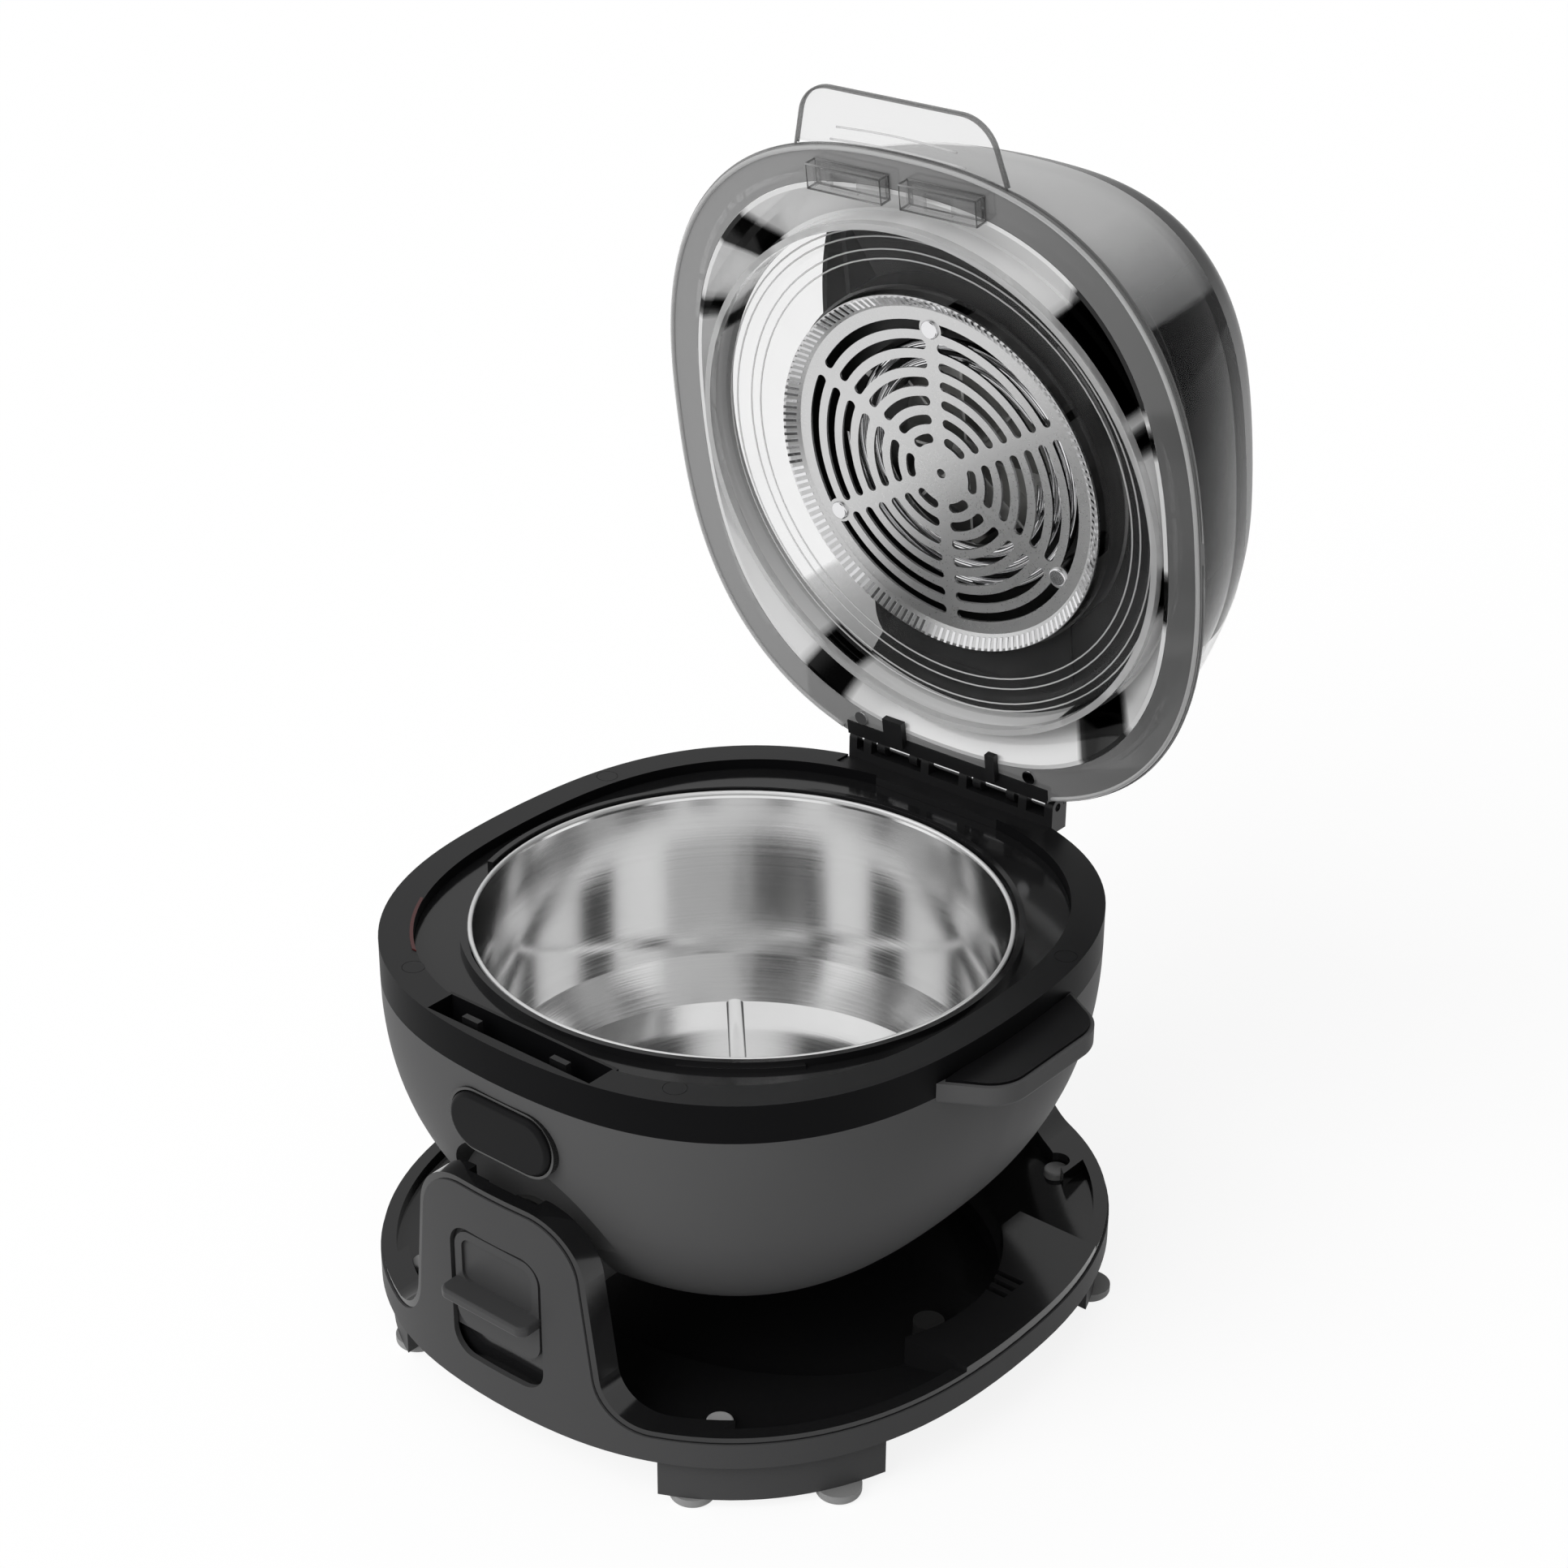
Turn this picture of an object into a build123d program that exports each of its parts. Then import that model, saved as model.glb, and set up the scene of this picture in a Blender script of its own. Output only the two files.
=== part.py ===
from build123d import *
import os
from dataclasses import dataclass, replace
from math import cos, hypot, pi, sin

# Countertop air fryer grill: a bowl with a lift-out pot and a rear-hinged clear lid,
# carried between two towers of a separate base. Millimetres, +Z up, front is -Y.
# The model is laid out around the pot's upright axis, with the ground at z = 0.

# Pot and its seat
pot_rim_radius = 120.0
pot_rim_roll = 2.2
pot_wall_top_radius = 117.0
pot_step_radius = 115.0
pot_floor_radius = 106.0
pot_step_depth = 86.0
pot_depth = 107.6
pot_sheet = 1.2
pot_rim_below_collar = 2.4
pot_rib_from = 30.0
pot_rib_to = 105.0
pot_rib_half = 4.0
pot_rib_height = 1.8
pot_rib_turn = 132.0

# Bowl body
collar_top_z = 197.0
collar_height = 17.5
collar_band = 14.0
collar_wall = 3.0
body_half_x = 142.4
body_half_y = 153.4
body_power = 2.5
body_centre_y = 2.4
bowl_depth = 134.0
bowl_flat_share = 0.965
bowl_profile_power = 2.2
bowl_round_power = 2.7
bowl_wall = 2.2
bowl_section_count = 11
pivot_z = 95.0
pivot_recess_radius = 46.0
pivot_recess_flare = 8.0
pivot_face_back = 22.0
pivot_radius = 6.0
pivot_flange_radius = 20.0
pivot_flange_thick = 3.0
pivot_face_out = 4.0
turret_radius = 30.0
turret_deep = 44.0
inner_ring_drop = 5.0
inner_ring_thick = 3.0
inner_lip_height = 3.5
inner_lip_thick = 2.6
inner_lip_gap = (198.0, 232.0)
inner_step = (298.0, 322.0)
inner_step_height = 2.0
inner_step_thick = 5.0
shield_gap = 0.6
shield_sheet = 0.6
heater_plate_radius = 95.0
heater_plate_thick = 6.0
heater_plate_gap = 0.4
tab_root_half = 47.0
tab_tip_half = 32.0
tab_reach = 23.0
tab_top_z = 187.5
tab_thick = 9.5
tab_corner = 20.0
tab_edge_round = 2.0
tab_pad_thick = 1.2
tab_pad_border = 2.0
plug_radius = 5.0
plug_thick = 1.2
plug_spots = ((-73.0, -127.0), (73.0, -127.0), (-131.0, 57.0), (131.0, 57.0))
lamp_front_y = -117.0
lamp_back_y = -83.0
lamp_width = 1.4
lamp_thick = 0.5

# Release button and its latch
button_width = 56.0
button_height = 27.0
button_z = 157.5
button_proud = 3.0
button_depth = 11.2
button_edge_round = 2.2
button_gap = 0.5
button_travel = 3.0
bezel_wall = 1.4
bezel_proud = 0.8
bezel_depth = 5.0
latch_pocket_half = 45.0
latch_pocket_deep = 12.0
latch_pocket_front = 4.6
latch_pocket_long = 14.0
latch_pocket_wall = 1.6
hook_spacing = 49.0
hook_width = 9.0
hook_thick = 3.0
latch_bar_half = 37.0
latch_bar_height = 18.0
latch_post_radius = 2.2
latch_post_x = 32.0
latch_clip_radius = 4.5
latch_clip_thick = 1.2

# Lid
lid_half_x = 143.0
lid_half_y = 154.4
lid_centre_y = -0.4
lid_gap = 3.0
lid_open_angle = 80.7
hinge_y = 153.6
hinge_above_lid = 5.5
flange_thick = 3.0
flange_band = 16.0
seal_height = 4.0
dome_scale = 0.908
dome_power = 2.8
dome_height = 108.0
dome_wall = 2.5
cap_share = 0.72
dome_profile = ((0.0, 1.0), (0.24, 0.986), (0.47, 0.952), (0.72, 0.893), (0.84, 0.850),
                (0.93, 0.805), (0.975, 0.765), (1.0, 0.70))
handle_root_half = 54.7
handle_tip_half = 47.0
handle_root_deep = 3.0
handle_lift = 0.4
handle_reach = 23.0
handle_round = 17.0
tab_slot_long = 14.0
tab_slot_margin = 0.8
catch_tab_length = 39.0
catch_tab_drop = 6.5
catch_tab_wide = 11.0
catch_tab_thick = 2.0
liner_rim_radius = 123.0
liner_rim_inner = 120.0
liner_rim_low = 1.6
liner_channel_height = 12.0
liner_sheet = 2.0
window_inner_radius = 86.5
window_height = 14.0
window_sheet = 2.0
window_step_radius = 112.0
window_step_rise = 2.0
window_edge_low = 9.0
guard_radius = 80.5
guard_height = 13.0
guard_sheet = 1.2
guard_rim_radius = 86.0
guard_rim_drop = 4.0
guard_ring_count = 7
guard_first_ring = 17.0
guard_ring_pitch = 9.0
guard_slot_width = 4.6
guard_spoke_width = 6.0
guard_spoke_count = 6
guard_screw_radius = 70.0
guard_screw_turns = (-90, 30, 150)
guard_screw_head = 4.4
guard_screw_shank = 1.6
guard_screw_length = 9.0
guard_screw_pad = 1.4
guard_screw_round = 0.8
chamber_radius = 88.0
chamber_height = 35.0
chamber_sheet = 1.2
post_radius = 4.2
coil_tube_radius = 3.0
coil_outer_radius = 61.0
coil_pitch = 8.0
coil_half_turns = 5
coil_height = 27.5
coil_clip_turns = (90, -30, 210)
coil_clip_half = 2.0
fan_radius = 42.0
fan_hub_radius = 9.0
fan_blade_count = 8
fan_blade_height = 12.0
fan_blade_thick = 1.4
fan_disc_thick = 1.2
fan_low = 32.0
fan_shaft_radius = 3.0
fan_shaft_proud = 3.0
motor_radius = 31.0
motor_height = 30.0
motor_shaft_share = 0.6
motor_round = 3.0
housing_half_x = 56.0
housing_half_y = 112.0
housing_round = 18.0
housing_wall = 2.4
housing_low = 26.0
housing_roof_gap = 12.0
panel_half = 34.0
panel_thick = 1.4
panel_forward = 40.0
board_half = 28.0
board_front_y = -66.0
board_back_y = -20.0
board_thick = 1.6

# Hinge
hinge_plate_half = 57.5
hinge_plate_front = 12.3
knuckle_radius = 4.2
hinge_pin_radius = 2.0
hinge_pin_half = 57.0
body_knuckles = (-56.6, -48.0, -14.0, 8.0, 42.0, 56.6)
lid_knuckles = (-40.0, -21.0, 16.0, 35.0)
knuckle_width = 4.6
bracket_half = 59.0
bracket_height = 15.0
bracket_front = 14.0
bracket_wall = 2.2
bracket_wall_rise = 2.0
bracket_ledge = 3.0
prong_spots = (-28.0, 28.0)
prong_widths = (11.0, 5.0)
prong_reach = 10.3
prong_thick = 3.4
hinge_screw_x = 48.3
hinge_screw_y = 137.0
hinge_screw_radius = 3.4
hinge_screw_head = 1.4

# Base
base_half_x = 152.3
base_half_y = 164.2
base_power = 2.38
base_centre_y = 4.6
skirt_wall = 2.6
skirt_low_z = 25.0
skirt_top_z = 37.0
lip_height = 3.0
lip_inset = 0.8
lip_band = 6.0
deck_edge_z = 34.0
well_half_x = 124.0
well_half_y = 97.0
well_rim_z = 27.0
well_floor_z = 17.0
deck_wall = 3.0
pad_front_y = -30.0
pad_back_y = 78.0
pad_rise = 2.2
pad_from_x = 100.0
vent_count = 3
vent_first_y = 20.0
vent_overlap = 6.0
vent_width = 3.0
vent_length = 9.0
vent_pitch = 6.0
leg_inset = 4.0
leg_thick = 17.0
leg_from_x = 74.0
leg_from_y = 74.0
leg_low_z = 5.0
foot_round_share = 0.5
foot_radius = 10.0
foot_spots = ((81.6, 133.0), (127.0, 92.0))
cap_radius = 6.0
cap_thick = 1.4
cap_sink = 2.5
cap_round_share = 0.6
cap_spots = ((-87.0, -117.0), (87.0, -117.0), (-87.0, 126.0), (87.0, 126.0))
plate_inset = 24.0
plate_thick = 2.4
plate_low_z = 8.0
plate_slot_count = 7
plate_slot_pitch = 12.0
plate_slot_half = 2.0
plate_slot_front_y = -20.0
plate_slot_back_y = 30.0
boss_radius = 5.0
base_screw_radius = 1.8
base_screw_head = 4.0
base_screw_head_thick = 2.0
boss_spots = ((-62.0, -70.0), (62.0, -70.0), (-62.0, 79.0), (62.0, 79.0))
bumper_radius = 7.0
bumper_height = 8.0
bumper_x = 104.0
base_board_half = 30.0
base_board_front_y = -74.0
base_board_back_y = -30.0
base_board_thick = 2.5

# Towers
tower_top_z = 128.0
tower_foot_half = 52.4
tower_head_half = 41.4
tower_head_round = 26.0
tower_foot_round = 25.0
tower_band_half = 96.0
front_tower_deep = 12.0
rear_tower_deep = 18.0
carrier_half = 19.6
carrier_thick = 4.0
carrier_low_z = 75.0
carrier_high_z = 122.0
slot_half = 26.0
slot_low_z = 42.0
slot_high_z = 107.0
slot_round = 11.0
pocket_half = 29.0
pocket_low_z = 39.0
pocket_high_z = 120.0
pocket_deep = 4.0
slider_half = 24.0
slider_low_z = 56.0
slider_high_z = 104.5
slider_thick = 3.2
slider_round = 9.0
slider_border = 4.0
slider_dish = 1.4
slider_proud = 1.2
slider_flange = 3.8
slider_flange_back = 1.7
paddle_half = 24.5
paddle_z = 77.0
paddle_thick = 5.0
paddle_reach = 9.0
paddle_round = 4.5
paddle_edge_round = 1.4
bolt_width = 10.0
bolt_height = 6.0
bolt_z = 113.0
bolt_travel = 3.0
bolt_bite = 2.2
rock_motor_radius = 19.0
rock_shaft_radius = 3.0
rock_shaft_grip = 8.0
inlet_width = 27.0
inlet_height = 19.0
inlet_z = 56.0
inlet_deep = 14.0
inlet_round = 3.0
inlet_wall = 2.0
inlet_pin = 2.0
inlet_pin_pitch = 7.0

# Far enough to pass any wall, for cutting tools
past = 1.0
far_out = 200.0

# Clearances
merge = 0.01
running = 0.05
sliding = 0.3
seat_gap = 0.3
face_gap = 0.2

# Derived places
collar_low_z = collar_top_z - collar_height
pot_rim_z = collar_top_z - pot_rim_below_collar
pot_floor_z = pot_rim_z - pot_depth
lid_plane_z = collar_top_z + lid_gap
hinge_z = lid_plane_z + hinge_above_lid
base_front_y = base_centre_y - base_half_y
base_back_y = base_centre_y + base_half_y
body_front_y = body_centre_y - body_half_y
body_back_y = body_centre_y + body_half_y
front_tower_inner_y = base_front_y + front_tower_deep
rear_tower_inner_y = base_back_y - rear_tower_deep
motor_back_y = base_back_y - skirt_wall - 1.8
inner_ring_z = collar_top_z - inner_ring_drop
latch_bar_y = body_front_y - button_proud + button_depth + face_gap
latch_post_root_y = body_front_y + 2 * bowl_wall
latch_post_tip_y = latch_bar_y + hook_thick + button_travel + sliding + latch_clip_thick
hook_top_z = collar_top_z + face_gap
corners_four = ((-1, -1), (-1, 1), (1, -1), (1, 1))
hook_places = (-hook_spacing / 2, hook_spacing / 2)
latch_post_places = (-latch_post_x, latch_post_x)
handle_tip_y = lid_centre_y - lid_half_y - handle_reach
knuckle_gap_radius = knuckle_radius + 0.5
knuckle_back_y = hinge_y + knuckle_gap_radius
housing_roof = dome_height - dome_wall - housing_roof_gap
rock_shaft_tip_y = rear_tower_inner_y + carrier_thick
chamber_low = window_height + window_sheet
chamber_top = chamber_low + chamber_height


@dataclass(frozen=True)
class Outline:
    """A rounded four-sided plan: |x / half_x| ^ power + |y / half_y| ^ power = 1."""

    half_x: float
    half_y: float
    power: float
    centre_y: float
    points: int = 36

    def inset(self, distance):
        return replace(self, half_x=self.half_x - distance, half_y=self.half_y - distance)

    def scaled(self, share):
        return replace(self, half_x=self.half_x * share, half_y=self.half_y * share)

    def point(self, turn):
        c, s = cos(turn), sin(turn)
        x = self.half_x * abs(c) ** (2 / self.power) * (1 if c > 0 else -1)
        y = self.half_y * abs(s) ** (2 / self.power) * (1 if s > 0 else -1)
        return x, self.centre_y + y

    def wire(self, z):
        turns = [2 * pi * (i + 0.5) / self.points for i in range(self.points)]
        corners = [(*self.point(turn), z) for turn in turns]
        return Wire([Edge.make_spline([Vector(*p) for p in corners], periodic=True)])

    def prism(self, low, high):
        return extrude(Face(self.wire(low)), amount=high - low, dir=(0, 0, 1))

    def ring(self, outer_inset, inner_inset, low, high):
        return self.inset(outer_inset).prism(low, high) - self.inset(inner_inset).prism(low, high)


body_outline = Outline(body_half_x, body_half_y, body_power, body_centre_y)
lid_outline = Outline(lid_half_x, lid_half_y, body_power, lid_centre_y)
base_outline = Outline(base_half_x, base_half_y, base_power, base_centre_y)
well_outline = Outline(well_half_x, well_half_y, 2.0, base_centre_y)


def block(low, high):
    """A box between two opposite corners."""
    size = [h - l for l, h in zip(low, high)]
    middle = [(l + h) / 2 for l, h in zip(low, high)]
    return Pos(*middle) * Box(*size)


def rod(radius, x, y, low, high):
    """An upright round bar."""
    return Pos(x, y, (low + high) / 2) * Cylinder(radius, high - low)


def rod_x(radius, y, z, low, high):
    """A round bar along X."""
    return Pos((low + high) / 2, y, z) * Rot(0, 90, 0) * Cylinder(radius, high - low)


def rod_y(radius, x, z, low, high):
    """A round bar along Y."""
    return Pos(x, (low + high) / 2, z) * Rot(90, 0, 0) * Cylinder(radius, high - low)


def turned(profile):
    """A solid turned about the upright axis from (radius, height) corners."""
    return revolve(Plane.XZ * make_face(Polyline(*profile, close=True)), Axis.Z)


def upright_plate(sketch, front_y, thickness):
    """A plate facing the front, drawn in X and Z, from front_y towards the back."""
    face = Plane((0, front_y, 0), x_dir=(1, 0, 0), z_dir=(0, -1, 0)) * sketch
    return extrude(face, amount=thickness, dir=(0, 1, 0))


def both_sides(solid):
    """The solid and its mirror image across the middle plane."""
    return [solid, mirror(solid, Plane.YZ)]


def bowl_scale(share):
    """Width of the bowl at a share of its depth below the collar."""
    return (1 - share ** bowl_profile_power) ** (1 / bowl_round_power)


def bowl_form(inset, floor_lift):
    """The bowl's rounded form, shrunk by a wall and lifted by a floor."""
    shares = [bowl_flat_share * (i / (bowl_section_count - 1)) ** 0.8
              for i in range(bowl_section_count)]
    wires = []
    for share in reversed(shares):
        z = collar_low_z - (bowl_depth - floor_lift) * share
        wires.append(body_outline.scaled(bowl_scale(share)).inset(inset).wire(z))
    return Solid.make_loft(wires)


def bowl_half_y(z):
    """Half length of the bowl at a height."""
    return body_half_y * bowl_scale((collar_low_z - z) / bowl_depth)


def pivot_recess(side, grow):
    """The round dished recess that faces a tower: side is -1 in front, 1 behind."""
    face_y = body_centre_y + side * (bowl_half_y(pivot_z) + grow_face(grow))
    depth = pivot_face_back
    cone = Cone(pivot_recess_radius + grow, pivot_recess_radius + pivot_recess_flare + grow, depth)
    return Pos(0, face_y + side * depth / 2, pivot_z) * Rot(-side * 90, 0, 0) * cone


def grow_face(grow):
    """Where the recess floor lies, out from the bowl's side at pivot height."""
    return pivot_face_out - grow


front_pivot_face_y = body_centre_y - bowl_half_y(pivot_z) - pivot_face_out
rear_pivot_face_y = body_centre_y + bowl_half_y(pivot_z) + pivot_face_out


def pill(width, height):
    """A round-ended bar drawn in X and Z."""
    return Pos(0, button_z) * SlotOverall(width, height)


def bezel_pill():
    """The outside of the button's rim."""
    return pill(button_width + 2 * bezel_wall, button_height + 2 * bezel_wall)


def make_bowl_shell():
    outer = bowl_form(0, 0)
    inner = bowl_form(bowl_wall, bowl_wall)
    for side in (-1, 1):
        outer -= pivot_recess(side, 0)
        inner -= pivot_recess(side, bowl_wall)
        outer += turret(side, 0)
        inner += turret(side, bowl_wall)
    shell = outer - inner
    hole = bezel_pill()
    shell -= upright_plate(hole, body_front_y - bowl_wall, 2 * button_depth)
    for face_y in (front_pivot_face_y, rear_pivot_face_y):
        shell -= rod_y(pivot_radius, 0, pivot_z, face_y - 2 * bowl_wall, face_y + 2 * bowl_wall)
    for x in latch_post_places:
        shell += rod_y(latch_post_radius, x, button_z, latch_post_root_y, latch_post_tip_y)
    return shell


def turret(side, wall):
    """The round boss that carries a pivot out from the bowl, or its hollow."""
    face_y = front_pivot_face_y if side < 0 else rear_pivot_face_y
    near, far = face_y - side * wall, face_y - side * turret_deep
    return rod_y(turret_radius - wall, 0, pivot_z, min(near, far), max(near, far))


def make_side_tab():
    root_x = body_half_x - collar_wall
    tip_x = body_half_x + tab_reach
    corners = [(root_x, body_centre_y - tab_root_half), (tip_x, body_centre_y - tab_tip_half),
               (tip_x, body_centre_y + tab_tip_half), (root_x, body_centre_y + tab_root_half)]
    plan = make_face(Polyline(*corners, close=True))
    plan = fillet(plan.vertices().group_by(Axis.X)[-1], tab_corner)
    low = tab_top_z - tab_pad_thick - tab_thick
    tab = extrude(Pos(0, 0, low) * plan, amount=tab_thick)
    tab = fillet(tab.faces().sort_by(Axis.Z)[0].edges(), tab_edge_round)
    tab -= body_outline.inset(-2 * running).prism(low - past, collar_top_z)
    pad_plan = offset(plan, -tab_pad_border)
    pad = extrude(Pos(0, 0, tab_top_z - tab_pad_thick) * pad_plan, amount=tab_pad_thick)
    pad -= body_outline.inset(-face_gap).prism(low, collar_top_z)
    return tab, pad


def collar_back_notch(grow):
    """The space in the collar's back edge that the hinge bracket fills."""
    low = (-bracket_half - grow, hinge_y - bracket_front - grow, collar_top_z - bracket_height - grow)
    high = (bracket_half + grow, body_back_y + 2, collar_top_z + 1)
    return block(low, high)


def make_collar():
    outer = body_outline.ring(0, collar_band, collar_low_z, collar_top_z)
    hollow = body_outline.ring(collar_wall, collar_band - collar_wall, collar_low_z - 1,
                               collar_top_z - collar_wall)
    ledge_high = inner_ring_z - inner_ring_thick
    ledge_low = ledge_high - collar_wall
    ledge = body_outline.ring(collar_band - merge, collar_band + collar_wall, ledge_low, ledge_high)
    within = body_outline.inset(sliding).prism(collar_low_z, collar_top_z)
    tray = latch_pocket(latch_pocket_wall) & within
    collar = outer - hollow + ledge + tray
    collar -= latch_pocket(0)
    for x in hook_places:
        collar -= hook_passage(x)
    collar -= collar_back_notch(0)
    for x, y in plug_spots:
        collar -= rod(plug_radius, x, y, collar_top_z - plug_thick, collar_top_z + 1)
    return collar


def latch_pocket(grow):
    """The space in the collar's front that the lid's catch tabs drop into."""
    front = body_front_y + latch_pocket_front
    low = (-latch_pocket_half - grow, front - grow, collar_top_z - latch_pocket_deep - grow)
    high = (latch_pocket_half + grow, front + latch_pocket_long + grow, collar_top_z + (0 if grow else 1))
    return block(low, high)


def hook_passage(x):
    """The slot in the pocket's floor that a hook rises through and slides along."""
    half = hook_width / 2 + sliding
    floor_z = collar_top_z - latch_pocket_deep
    return block((x - half, latch_bar_y - sliding, collar_low_z - 1),
                 (x + half, latch_bar_y + hook_thick + button_travel + sliding, floor_z + 1))


def make_inner_ring():
    low = inner_ring_z - inner_ring_thick
    bore = pot_rim_radius + seat_gap
    plate = body_outline.inset(collar_band + face_gap).prism(low, inner_ring_z)
    lip = rod(bore + inner_lip_thick, 0, 0, low, inner_ring_z + inner_lip_height)
    step = rod(bore + inner_step_thick, 0, 0, low, inner_ring_z + inner_step_height)
    ring = plate + (lip - sector(inner_lip_gap, inner_ring_z)) + (step & sector(inner_step, low))
    seat_radius = pot_wall_top_radius + pot_sheet + sliding
    ring -= rod(bore, 0, 0, pot_rim_z - pot_rim_roll, collar_top_z + 1)
    ring -= rod(seat_radius, 0, 0, low - 1, collar_top_z)
    return ring - collar_back_notch(face_gap) - latch_pocket(latch_pocket_wall + face_gap)


def sector(turns, low):
    """A wedge about the pot's axis between two turns, from a height upwards."""
    corners = [(far_out * cos(turn * pi / 180), far_out * sin(turn * pi / 180)) for turn in turns]
    return extrude(Pos(0, 0, low) * make_face(Polyline((0, 0), *corners, close=True)), amount=far_out)


def make_heat_shield():
    wall = pot_step_radius + pot_sheet + shield_gap
    step_z = pot_rim_z - pot_step_depth - pot_sheet
    foot = pot_floor_radius + pot_sheet + shield_gap
    foot_z = pot_floor_z - pot_sheet - shield_gap
    heater_top = pot_floor_z - pot_sheet - heater_plate_gap
    floor_z = heater_top - heater_plate_thick
    top = inner_ring_z - inner_ring_thick
    rim = pot_wall_top_radius + pot_sheet + shield_gap
    plate_edge = heater_plate_radius + shield_gap
    inside = [(rim, top), (wall, step_z), (foot, foot_z), (plate_edge, floor_z), (0, floor_z)]
    outside = [(0, floor_z - shield_sheet), (plate_edge, floor_z - shield_sheet),
               (foot + shield_sheet, foot_z), (wall + shield_sheet, step_z),
               (rim + shield_sheet, top)]
    return turned(inside + outside)


def make_heater_plate():
    top = pot_floor_z - pot_sheet - heater_plate_gap
    plate = rod(heater_plate_radius, 0, 0, top - heater_plate_thick, top)
    groove = Pos(0, 0, top) * Torus(heater_plate_radius * 0.7, heater_plate_thick * 0.25)
    return plate - groove


def make_pot():
    step_z = pot_rim_z - pot_step_depth
    lip = pot_rim_radius - pot_rim_roll
    inside = [(lip, pot_rim_z - pot_sheet), (pot_wall_top_radius, pot_rim_z - pot_rim_roll - pot_sheet),
              (pot_step_radius, step_z), (pot_floor_radius, pot_floor_z), (0, pot_floor_z)]
    outside = [(0, pot_floor_z - pot_sheet), (pot_floor_radius + pot_sheet, pot_floor_z - pot_sheet),
               (pot_step_radius + pot_sheet, step_z - pot_sheet),
               (pot_wall_top_radius + pot_sheet, pot_rim_z - pot_rim_roll - pot_sheet),
               (lip, pot_rim_z - pot_rim_roll)]
    pot = turned(inside + outside)
    bead = Pos(0, 0, pot_rim_z - pot_rim_roll / 2) * Torus(lip, pot_rim_roll / 2)
    return pot + bead + Rot(0, 0, pot_rib_turn) * pot_rib()


def pot_rib():
    """The rounded rib pressed up along the pot's floor, drawn along X."""
    radius = (pot_rib_half ** 2 + pot_rib_height ** 2) / (2 * pot_rib_height)
    crown = pot_floor_z + pot_rib_height
    low = pot_floor_z - pot_sheet / 2
    bar = rod_x(radius, 0, crown - radius, pot_rib_from, pot_rib_to)
    return bar & block((pot_rib_from, -2 * pot_rib_half, low), (pot_rib_to, 2 * pot_rib_half, crown))


def make_button_parts():
    shell_y = body_front_y
    front = shell_y - button_proud
    button = upright_plate(pill(button_width - button_gap, button_height - button_gap), front,
                           button_depth)
    button = fillet(button.faces().sort_by(Axis.Y)[0].edges(), button_edge_round)
    rim = bezel_pill() - pill(button_width + button_gap, button_height + button_gap)
    bezel = upright_plate(rim, shell_y - bezel_proud, bezel_depth)
    return button, bezel


def make_latch():
    """The sliding bar behind the button, with two hooks that rise into the pocket."""
    back = latch_bar_y + hook_thick
    bar = block((-latch_bar_half, latch_bar_y, button_z - latch_bar_height / 2),
                (latch_bar_half, back, button_z + latch_bar_height / 2))
    for x in hook_places:
        half = hook_width / 2
        bar += block((x - half, latch_bar_y, button_z), (x + half, back, hook_top_z))
    for x in latch_post_places:
        bar -= rod_y(latch_post_radius + sliding, x, button_z, latch_bar_y - past, back + past)
    return bar


def make_latch_clips():
    """The washers that keep the latch bar on its two posts."""
    clips = []
    near, tip = latch_post_tip_y - latch_clip_thick, latch_post_tip_y
    for x in latch_post_places:
        bore = rod_y(latch_post_radius + running, x, button_z, near - past, tip + past)
        clips.append(rod_y(latch_clip_radius, x, button_z, near, tip) - bore)
    return clips


def make_plugs():
    low = collar_top_z - plug_thick
    return [rod(plug_radius - face_gap, x, y, low, collar_top_z) for x, y in plug_spots]


def make_lamp():
    """The thin indicator lens on the left inner edge of the collar."""
    high = collar_top_z + lamp_thick
    edge = body_outline.ring(collar_band - lamp_width, collar_band, collar_top_z, high)
    return edge & block((-body_half_x, lamp_front_y, collar_top_z), (0, lamp_back_y, high))


# Hinge: bracket on the body, plate on the lid, one pin


def make_hinge_bracket():
    low_z = collar_top_z - bracket_height
    top_z = lid_plane_z - prong_thick - 2 * sliding
    front = hinge_y - bracket_front
    half = bracket_half - face_gap
    bracket = block((-half, front, low_z), (half, body_back_y, top_z))
    bracket &= body_outline.inset(face_gap).prism(low_z, top_z)
    ledge_low, ledge_high = top_z - bracket_ledge, hinge_z - knuckle_gap_radius
    wall_back = knuckle_back_y + bracket_wall
    bracket += block((-half, hinge_y - knuckle_radius, ledge_low), (half, wall_back, ledge_high))
    bracket += block((-half, knuckle_back_y, ledge_low), (half, wall_back, hinge_z + bracket_wall_rise))
    for x in body_knuckles:
        left, right = x - knuckle_width / 2, x + knuckle_width / 2
        web = block((left, hinge_y - knuckle_radius, ledge_low), (right, wall_back, hinge_z))
        bracket += web + rod_x(knuckle_radius, hinge_y, hinge_z, left, right)
    bracket -= rod_x(hinge_pin_radius, hinge_y, hinge_z, -bracket_half, bracket_half)
    return bracket


def make_hinge_pin():
    return rod_x(hinge_pin_radius, hinge_y, hinge_z, -hinge_pin_half, hinge_pin_half)


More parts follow.
